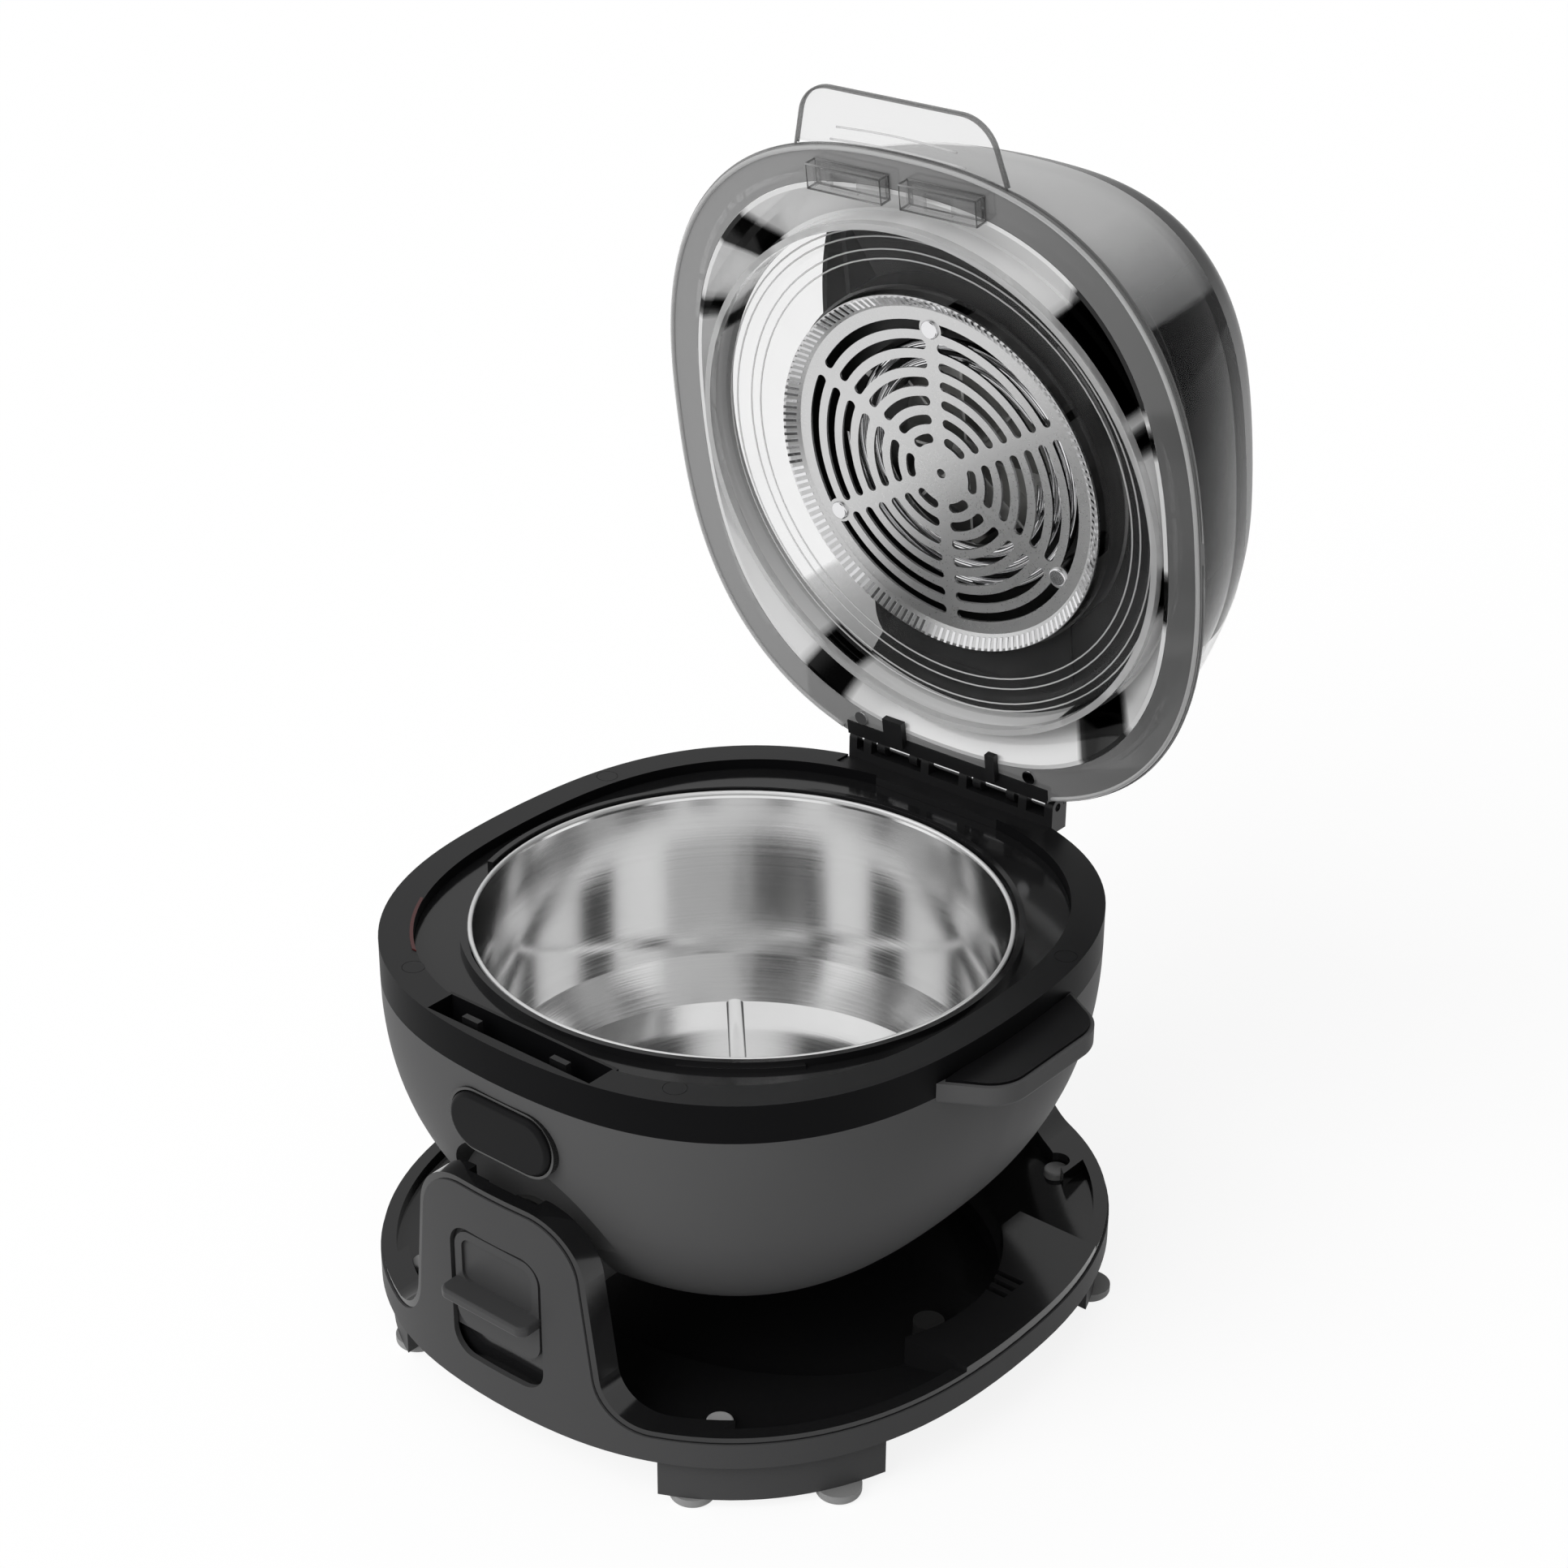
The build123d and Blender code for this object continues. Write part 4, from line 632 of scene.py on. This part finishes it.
NODE_FINISH: dict[str, Finish] = {
    "base_skirt": BASE_GREY, "base_deck": GLOSS_BLACK, "base_bottom_plate": COLLAR_DARK,
    "base_screws": PLAIN_STEEL, "rubber_feet": RUBBER, "deck_screw_caps": CAP_GREY,
    "rock_bumpers": BUMPER, "base_board": BOARD_GREEN, "power_inlet": MATTE_BLACK,
    "front_pivot_carrier": GLOSS_BLACK, "rear_pivot_carrier": GLOSS_BLACK,
    "rock_motor": PLAIN_STEEL, "release_lever": LEVER_GREY, "lever_bolt": MATTE_BLACK,
    "bowl_shell": BOWL_GREY, "collar": COLLAR_DARK, "inner_ring": GLOSS_BLACK,
    "heat_shield": PLAIN_STEEL, "bottom_heater": CAST, "side_tab": BOWL_GREY,
    # the side tab's top pad is dressed dark as painted shade on the tab's top
    "side_tab_pad": COLLAR_DARK, "collar_plugs": COLLAR_DARK, "indicator_lens": LENS_RED,
    "front_pivot": PLAIN_STEEL, "rear_pivot": PLAIN_STEEL, "rock_shaft": PLAIN_STEEL,
    "button_bezel": BEZEL, "latch_clips": PLAIN_STEEL, "hinge_bracket": MATTE_BLACK,
    "hinge_pin": POLISHED, "release_button": BUTTON_DARK, "latch_bar": MATTE_BLACK,
    "pot": POT_STEEL, "lid_frame": CLEAR_FLANGE, "lid_dome": CLEAR_DOME, "lid_cap": CAP_SHELL,
    "control_panel": GLOSS_BLACK, "control_board": BOARD_GREEN, "lid_liner": LINER,
    "lid_window": CLEAR_WINDOW, "lid_seal": CLEAR_SEAL, "fan_guard": GUARD_STEEL,
    "guard_screws": POLISHED, "fan_chamber": DRUM, "heater_coil": POLISHED,
    "coil_clips": PLAIN_STEEL, "fan": PLAIN_STEEL, "fan_shaft": PLAIN_STEEL,
    "fan_motor": PLAIN_STEEL, "motor_housing": HOUSING, "hinge_plate": MATTE_BLACK,
    "hinge_screws": POLISHED,
}


def dress(piece: bpy.types.Object, finish: Finish) -> None:
    """Give a piece one finish in all of its slots.

    Args:
        piece: the object to dress.
        finish: what it is made of.
    """
    material = finish.material()
    if not piece.material_slots:
        piece.data.materials.append(material)
    for slot in piece.material_slots:
        slot.material = material


def add_object(name: str, data: bpy.types.ID) -> bpy.types.Object:
    """Put a new object into the scene.

    Args:
        name: what it is called.
        data: its mesh, camera or light.

    Returns:
        The new object.
    """
    made = bpy.data.objects.new(name, data)
    bpy.context.scene.collection.objects.link(made)
    return made


def open_place(x: float, y: float, height: float) -> Vector:
    """A place on the closed lid, turned up with the open lid.

    Args:
        x: across, in metres from the pot's axis.
        y: along, in metres from the pot's axis.
        height: above the flange's underside, in metres.

    Returns:
        The place in the model's frame at rest.
    """
    along = y + AXIS_Y - PIN_Y
    up = LID_PLANE_Z + height - PIN_Z
    return Vector((x + AXIS_X,
                   PIN_Y + along * math.cos(OPEN_ANGLE) - up * math.sin(OPEN_ANGLE),
                   PIN_Z + along * math.sin(OPEN_ANGLE) + up * math.cos(OPEN_ANGLE)))


def rounded_point(half_x: float, half_y: float, power: float, centre_y: float,
                  turn: float) -> tuple[float, float]:
    """A point of a rounded four-sided outline.

    Args:
        half_x: half width.
        half_y: half length.
        power: how square the corners are.
        centre_y: the middle, along.
        turn: the angle round it.

    Returns:
        The point's place across and along.
    """
    c, s = math.cos(turn), math.sin(turn)
    x = half_x * abs(c) ** (2 / power) * math.copysign(1, c)
    y = half_y * abs(s) ** (2 / power) * math.copysign(1, s)
    return x, centre_y + y


class MeshMaker:
    """Builds one mesh object from tubes and bars."""

    OFF_AXIS: ClassVar[Point] = (0.13, 0.31, 0.94)
    """A direction that no tube runs along."""
    LINE_SIDES: ClassVar[int] = 6
    """Enough sides for the finest tubes."""
    WELD: ClassVar[float] = 1e-6
    """Corners closer than this are one."""

    def __init__(self, name: str) -> None:
        """Start an empty mesh."""
        self.name = name
        self.mesh = bmesh.new()

    def tube(self, points: list[Vector], radius: float, sides: int = 8,
             closed: bool = False) -> None:
        """Add a round tube along points.

        Args:
            points: the tube's middle line.
            radius: its radius.
            sides: how many sides it has.
            closed: whether its end joins its start.
        """
        rings = []
        count = len(points)
        for i, point in enumerate(points):
            before = points[(i - 1) % count] if closed or i > 0 else point
            after = points[(i + 1) % count] if closed or i < count - 1 else point
            along = (after - before).normalized()
            side = along.cross(Vector(self.OFF_AXIS)).normalized()
            up = side.cross(along)
            rings.append([
                self.mesh.verts.new(point + (side * math.cos(t) + up * math.sin(t)) * radius)
                for t in turns(sides)])
        for first, second in zip(rings, rings[1:] + (rings[:1] if closed else [])):
            for k in range(sides):
                n = (k + 1) % sides
                self.mesh.faces.new((first[k], first[n], second[n], second[k]))
        if not closed:
            self.mesh.faces.new(list(reversed(rings[0])))
            self.mesh.faces.new(rings[-1])

    def line(self, points: list[Vector], radius: float, closed: bool = False) -> None:
        """Add a fine tube, with few sides."""
        self.tube(points, radius, self.LINE_SIDES, closed)

    def bar(self, corners: list[Vector]) -> None:
        """Add a solid bar.

        Args:
            corners: eight corners, four round one end and four round the other.
        """
        verts = [self.mesh.verts.new(c) for c in corners]
        for face in ((3, 2, 1, 0), (4, 5, 6, 7), (0, 1, 5, 4), (1, 2, 6, 5), (2, 3, 7, 6),
                     (3, 0, 4, 7)):
            self.mesh.faces.new([verts[i] for i in face])

    def weld(self) -> None:
        """Join corners that lie on each other."""
        bmesh.ops.remove_doubles(self.mesh, verts=self.mesh.verts[:], dist=self.WELD)

    def finish(self, body: str, slot: str, finish: Finish, smooth: bool = True) -> None:
        """Turn the mesh into a dressed piece that rides on a body.

        Args:
            body: the body it rides on.
            slot: not used.
            finish: what it is made of.
            smooth: whether its faces are shaded as one round surface.
        """
        bmesh.ops.recalc_face_normals(self.mesh, faces=self.mesh.faces[:])
        data = bpy.data.meshes.new(self.name)
        self.mesh.to_mesh(data)
        self.mesh.free()
        for polygon in data.polygons:
            polygon.use_smooth = smooth
        piece = add_object(self.name, data)
        dress(piece, finish)
        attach(piece, body)
        log.info("%s rides on %s", self.name, body)


@dataclass
class LidTrim:
    """The fine trim of the open lid: beads and lines, a dark sheet of painted shade and the
    guard's teeth.
    """

    half_x: float = 0.143
    half_y: float = 0.1544
    centre_y: float = -0.0004
    power: float = 2.5
    hinge_half: float = 0.0585
    bead: float = 0.0011
    line: float = 0.0005
    flange_top: float = 0.003
    grip_root: float = 0.0547
    grip_inset: float = 0.005
    grip_reach: float = 0.023
    grip_tip: float = 0.047
    grip_round: float = 0.017
    grip_bead_radius: float = 0.0006
    grip_bead_heights: tuple[float, float] = (0.0008, 0.0026)
    grip_line_places: tuple[tuple[float, float], ...] = ((0.0065, 0.031), (0.0005, 0.035))
    grip_line_bow: float = 0.0012
    grip_line_height: float = 0.0004
    catch_x: float = 0.0245
    catch_half: float = 0.0195
    catch_front: float = -0.1452
    catch_length: float = 0.011
    catch_low: float = -0.0065
    catch_high: float = -0.0004
    window_line: float = 0.0004
    window_rings: tuple[tuple[float, float], ...] = (
        (0.1165, 0.0088), (0.1128, 0.0088), (0.1062, 0.0108), (0.1015, 0.0116))
    # the painted shade sheet's outline, hole, left cut and heights
    shade_sheet_half_x: float = 0.1225
    shade_sheet_half_y: float = 0.1325
    shade_sheet_power: float = 2.8
    shade_sheet_hole: float = 0.0892
    shade_sheet_left: float = -0.064
    shade_sheet_turn: float = 2.02
    shade_sheet_low: float = 0.0272
    shade_sheet_high: float = 0.0280
    tooth_count: int = 150
    tooth_inner: float = 0.0806
    tooth_outer: float = 0.0856
    tooth_inner_height: float = 0.0126
    tooth_outer_height: float = 0.0093
    tooth_width: float = 0.0014
    tooth_proud: float = 0.0010
    shade_bed_depth: float = 0.0002

    BEAD_INSET: ClassVar[float] = 1.3
    BEAD_DROP: ClassVar[float] = 0.2
    EDGE_STEPS: ClassVar[int] = 180
    CORNER_STEPS: ClassVar[int] = 10
    GRIP_STEPS: ClassVar[int] = 16
    WINDOW_STEPS: ClassVar[int] = 96
    SHADE_SHEET_STEPS: ClassVar[int] = 64
    SHADE_BED_STEPS: ClassVar[int] = 120

    @property
    def front(self) -> float:
        """Where the flange ends in front, along from the pot's axis."""
        return self.centre_y - self.half_y

    def flange_edge(self, inset: float) -> list[tuple[float, float]]:
        """The flange's outline, with the hinge's cut-out left out.

        Args:
            inset: how far inside the edge it runs.

        Returns:
            Places across and along, from the right side round.
        """
        points = [rounded_point(self.half_x - inset, self.half_y - inset, self.power,
                                self.centre_y, turn) for turn in turns(self.EDGE_STEPS)]
        return [(x, y) for x, y in points if abs(x) >= self.hinge_half or y <= 0]

    def edge_bead(self) -> None:
        """The rounded lip round the clear flange, from one side of the hinge to the other, pale as
        a painted highlight.
        """
        maker = MeshMaker("flange_bead")
        points = self.flange_edge(self.bead * self.BEAD_INSET)
        start = next(i for i, point in enumerate(points)
                     if math.dist(point, points[i - 1]) > self.hinge_half)
        points = points[start:] + points[:start]
        maker.tube([open_place(x, y, -self.bead * self.BEAD_DROP) for x, y in points], self.bead)
        maker.finish("lid", "clear", CLEAR_PALE_HIGHLIGHT)

    def edge_line(self) -> None:
        """A dark line painted along the clear flange's outer edge as painted shade."""
        maker = MeshMaker("flange_edge_line")
        maker.line([open_place(x, y, self.flange_top / 2) for x, y in self.flange_edge(0.0)],
                   self.line)
        maker.finish("lid", "clear", CLEAR_DARK_EDGE_SHADE)

    def catch_lines(self) -> None:
        """The moulded edges of the two clear catch tabs, drawn as dark lines of painted shade."""
        maker = MeshMaker("catch_tab_lines")
        near, far = self.catch_front, self.catch_front + self.catch_length
        for middle in (-self.catch_x, self.catch_x):
            left, right = middle - self.catch_half, middle + self.catch_half
            corners = ((left, near), (right, near), (right, far), (left, far))
            for height in (self.catch_low, self.catch_high):
                maker.line([open_place(x, y, height) for x, y in corners], self.line, closed=True)
            for x, y in corners:
                maker.line([open_place(x, y, self.catch_low), open_place(x, y, self.catch_high)],
                           self.line)
        maker.finish("lid", "clear", CLEAR_DARK_EDGE_SHADE)

    def window_lines(self) -> None:
        """The fine steps moulded round the clear window, pale as a painted highlight."""
        maker = MeshMaker("window_lines")
        for radius, height in self.window_rings:
            maker.line([open_place(radius * math.cos(turn), radius * math.sin(turn), height)
                        for turn in turns(self.WINDOW_STEPS)], self.window_line, closed=True)
        maker.finish("lid", "clear", CLEAR_PALE_HIGHLIGHT)

    def inner_shade_sheet(self) -> None:
        """A thin dark sheet beside the drum, from the housing's left edge to the dome's right:
        painted shade standing in for the dark inside of the lid.
        """
        maker = MeshMaker("inner_shade_sheet")
        ends: list[list[Vector]] = []
        for i in range(self.SHADE_SHEET_STEPS + 1):
            turn = -self.shade_sheet_turn + 2 * self.shade_sheet_turn * i / self.SHADE_SHEET_STEPS
            x, y = rounded_point(self.shade_sheet_half_x, self.shade_sheet_half_y, self.shade_sheet_power,
                                 self.centre_y, turn)
            outer = (max(x, self.shade_sheet_left), y)
            inner = (max(self.shade_sheet_hole * math.cos(turn), self.shade_sheet_left),
                     self.shade_sheet_hole * math.sin(turn))
            ends.append([open_place(*inner, self.shade_sheet_low), open_place(*outer, self.shade_sheet_low),
                         open_place(*outer, self.shade_sheet_high),
                         open_place(*inner, self.shade_sheet_high)])
        for near, far in zip(ends, ends[1:]):
            maker.bar(near + far)
        maker.weld()
        maker.finish("lid", "hinge_plastic", HOUSING, smooth=False)

    def grip_outline(self) -> list[tuple[float, float]]:
        """The edge of the hand grip, from its left root round to its right root.

        Returns:
            Places across and along, with both front corners rounded.
        """
        root = Vector((-self.grip_root, self.front + self.grip_inset))
        corner = Vector((-self.grip_tip, self.front - self.grip_reach))
        into, out = (root - corner).normalized(), Vector((1.0, 0.0))
        half = into.angle(out) / 2
        start = corner + into * self.grip_round / math.tan(half)
        middle = corner + (into + out).normalized() * self.grip_round / math.sin(half)
        spoke = start - middle
        sweep = math.pi - 2 * half
        left = [root]
        for i in range(self.CORNER_STEPS + 1):
            turn = sweep * i / self.CORNER_STEPS
            left.append(middle + Vector((spoke.x * math.cos(turn) - spoke.y * math.sin(turn),
                                         spoke.x * math.sin(turn) + spoke.y * math.cos(turn))))
        points = [(p.x, p.y) for p in left]
        return points + [(-x, y) for x, y in reversed(points)]

    def grip_bead(self) -> None:
        """The two edges of the rounded lip round the hand grip, drawn as dark lines of painted
        shade.
        """
        maker = MeshMaker("grip_bead")
        for height in self.grip_bead_heights:
            maker.tube([open_place(x, y, height) for x, y in self.grip_outline()],
                       self.grip_bead_radius)
        maker.finish("lid", "clear", CLEAR_DARK_EDGE_SHADE)

    def grip_lines(self) -> None:
        """Two raised lines across the hand grip, pale as a painted highlight."""
        maker = MeshMaker("grip_lines")
        for reach, half in self.grip_line_places:
            line = []
            for i in range(self.GRIP_STEPS + 1):
                bow = self.grip_line_bow * math.sin(math.pi * i / self.GRIP_STEPS)
                line.append(open_place(-half + 2 * half * i / self.GRIP_STEPS,
                                       self.front - reach - bow, self.grip_line_height))
            maker.line(line, self.line)
        maker.finish("lid", "clear", CLEAR_PALE_HIGHLIGHT)

    def guard_teeth(self) -> None:
        """The pressed teeth round the guard's skirt."""
        maker = MeshMaker("guard_teeth")
        ends = ((self.tooth_inner, self.tooth_inner_height),
                (self.tooth_outer, self.tooth_outer_height))
        half = self.tooth_width / 2
        for turn in turns(self.tooth_count):
            out_x, out_y = math.cos(turn), math.sin(turn)
            maker.bar([open_place(out_x * radius - out_y * half * side,
                                  out_y * radius + out_x * half * side,
                                  height - proud * self.tooth_proud)
                       for radius, height in ends
                       for side, proud in ((-1, 0), (1, 0), (1, 1), (-1, 1))])
        maker.finish("lid", "steel", POLISHED, smooth=False)

    def tooth_shade_bed(self) -> None:
        """The dull dark band that the guard's teeth stand on: painted shade standing in for the
        dark gaps between the teeth.
        """
        maker = MeshMaker("guard_tooth_shade_bed")
        inner = (self.tooth_inner, self.tooth_inner_height)
        outer = (self.tooth_outer, self.tooth_outer_height)
        section = ((*inner, 0.0), (*outer, 0.0), (*outer, self.shade_bed_depth),
                   (*inner, self.shade_bed_depth))
        ends = [[open_place(radius * math.cos(turn), radius * math.sin(turn), height - lift)
                 for radius, height, lift in section] for turn in turns(self.SHADE_BED_STEPS)]
        for near, far in zip(ends, ends[1:] + ends[:1]):
            maker.bar(near + far)
        maker.finish("lid", "steel", TOOTH_SHADE_BED)

    def build(self) -> None:
        """Make all of the lid's trim."""
        for make in (self.edge_bead, self.edge_line, self.grip_bead, self.grip_lines,
                     self.catch_lines, self.window_lines, self.inner_shade_sheet, self.guard_teeth,
                     self.tooth_shade_bed):
            make()


@dataclass
class Studio:
    """White floor, soft light and the camera at the photograph's viewpoint."""

    azimuth: float = 40.18
    elevation: float = 26.88
    place: Point = (0.7564 + AXIS_X, -0.8957 + AXIS_Y, 0.8520)
    sensor: float = 36.0
    lens: float = 70.98
    shift_x: float = 0.02698
    sight: float = 50.0
    floor_half: float = 6.0
    floor_plain: float = 0.92
    floor_shade: float = 0.20
    floor_glow: float = 0.865
    sky: float = 0.42
    sun: float = 1.6
    sun_spread: float = 50.0
    sun_turn: Point = (50.0, 0.0, -8.0)

    def camera(self) -> None:
        """The camera that matches the photograph."""
        data = bpy.data.cameras.new("photo_camera")
        data.sensor_width = self.sensor
        data.lens = self.lens
        data.shift_x = self.shift_x
        data.clip_end = self.sight
        camera = add_object("photo_camera", data)
        camera.location = self.place
        camera.rotation_euler = (math.radians(90 - self.elevation), 0, math.radians(self.azimuth))
        bpy.context.scene.camera = camera

    def floor(self) -> None:
        """A floor that looks white with a faint shadow, and lights the part from below."""
        mesh = bmesh.new()
        bmesh.ops.create_grid(mesh, x_segments=2, y_segments=2, size=self.floor_half)
        data = bpy.data.meshes.new("floor")
        mesh.to_mesh(data)
        mesh.free()
        floor = add_object("floor", data)
        material = bpy.data.materials.new("floor_white")
        shader = Shader(material)
        looked_at = shader.seen().at_least(shader.ray("Glossy"))
        plain = shader.node("ShaderNodeBsdfDiffuse", {}, {"Color": grey(self.floor_plain)})
        shaded = shader.node("ShaderNodeBsdfDiffuse", {}, {"Color": grey(self.floor_shade)})
        glow = shader.node("ShaderNodeEmission", {},
                           {"Color": grey(self.floor_glow), "Strength": 1.0})
        white = shader.node("ShaderNodeAddShader", {}, {0: shaded, 1: glow})
        mixed = shader.node("ShaderNodeMixShader", {}, {0: looked_at, 1: plain, 2: white})
        shader.show("ShaderNodeOutputMaterial", mixed)
        data.materials.append(material)

    def sky_light(self) -> None:
        """A white background, a soft sky for light and a plain studio for reflections."""
        world = bpy.data.worlds.new("studio")
        bpy.context.scene.world = world
        shader = Shader(world)
        direction = shader.node("ShaderNodeTexCoord", {}, {}, "Generated")
        walls = shader.ramp(shader.toward(direction, AHEAD), WALL_STOPS)
        roof = shader.ramp(shader.part_of(direction, 2), ROOF_STOPS)
        studio = shader.blend(1.0, walls, roof, "LIGHTEN")
        soft = shader.ramp(shader.toward(direction, RIGHT),
                           [(place, self.sky * share) for place, share in SKY_STOPS])
        plain = shader.blend(shader.ray("Glossy"), soft, studio)
        shown = shader.blend(shader.seen(), plain, grey(1.0))
        glow = shader.node("ShaderNodeBackground", {}, {"Color": shown, "Strength": 1.0})
        shader.show("ShaderNodeOutputWorld", glow)

    def lamps(self) -> None:
        """One broad key from above the viewer's left, kept out of the reflections."""
        data = bpy.data.lights.new("key", "SUN")
        data.energy = self.sun
        data.angle = math.radians(self.sun_spread)
        lamp = add_object("key", data)
        lamp.rotation_euler = tuple(math.radians(turn) for turn in self.sun_turn)
        lamp.visible_glossy = False

    def build(self) -> None:
        """Set up the whole studio."""
        self.camera()
        self.floor()
        self.sky_light()
        self.lamps()
        settings = bpy.context.scene.view_settings
        settings.view_transform = "Standard"


def main() -> None:
    """Dress the model, add its trim and set up the studio."""
    logging.basicConfig(level=logging.INFO)
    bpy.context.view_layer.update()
    Studio().build()
    for name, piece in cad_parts.items():
        dress(piece, NODE_FINISH[name])
        log.info("%s is dressed as %s", name, NODE_FINISH[name].name)
    LidTrim().build()


if __name__ == "__main__":
    main()
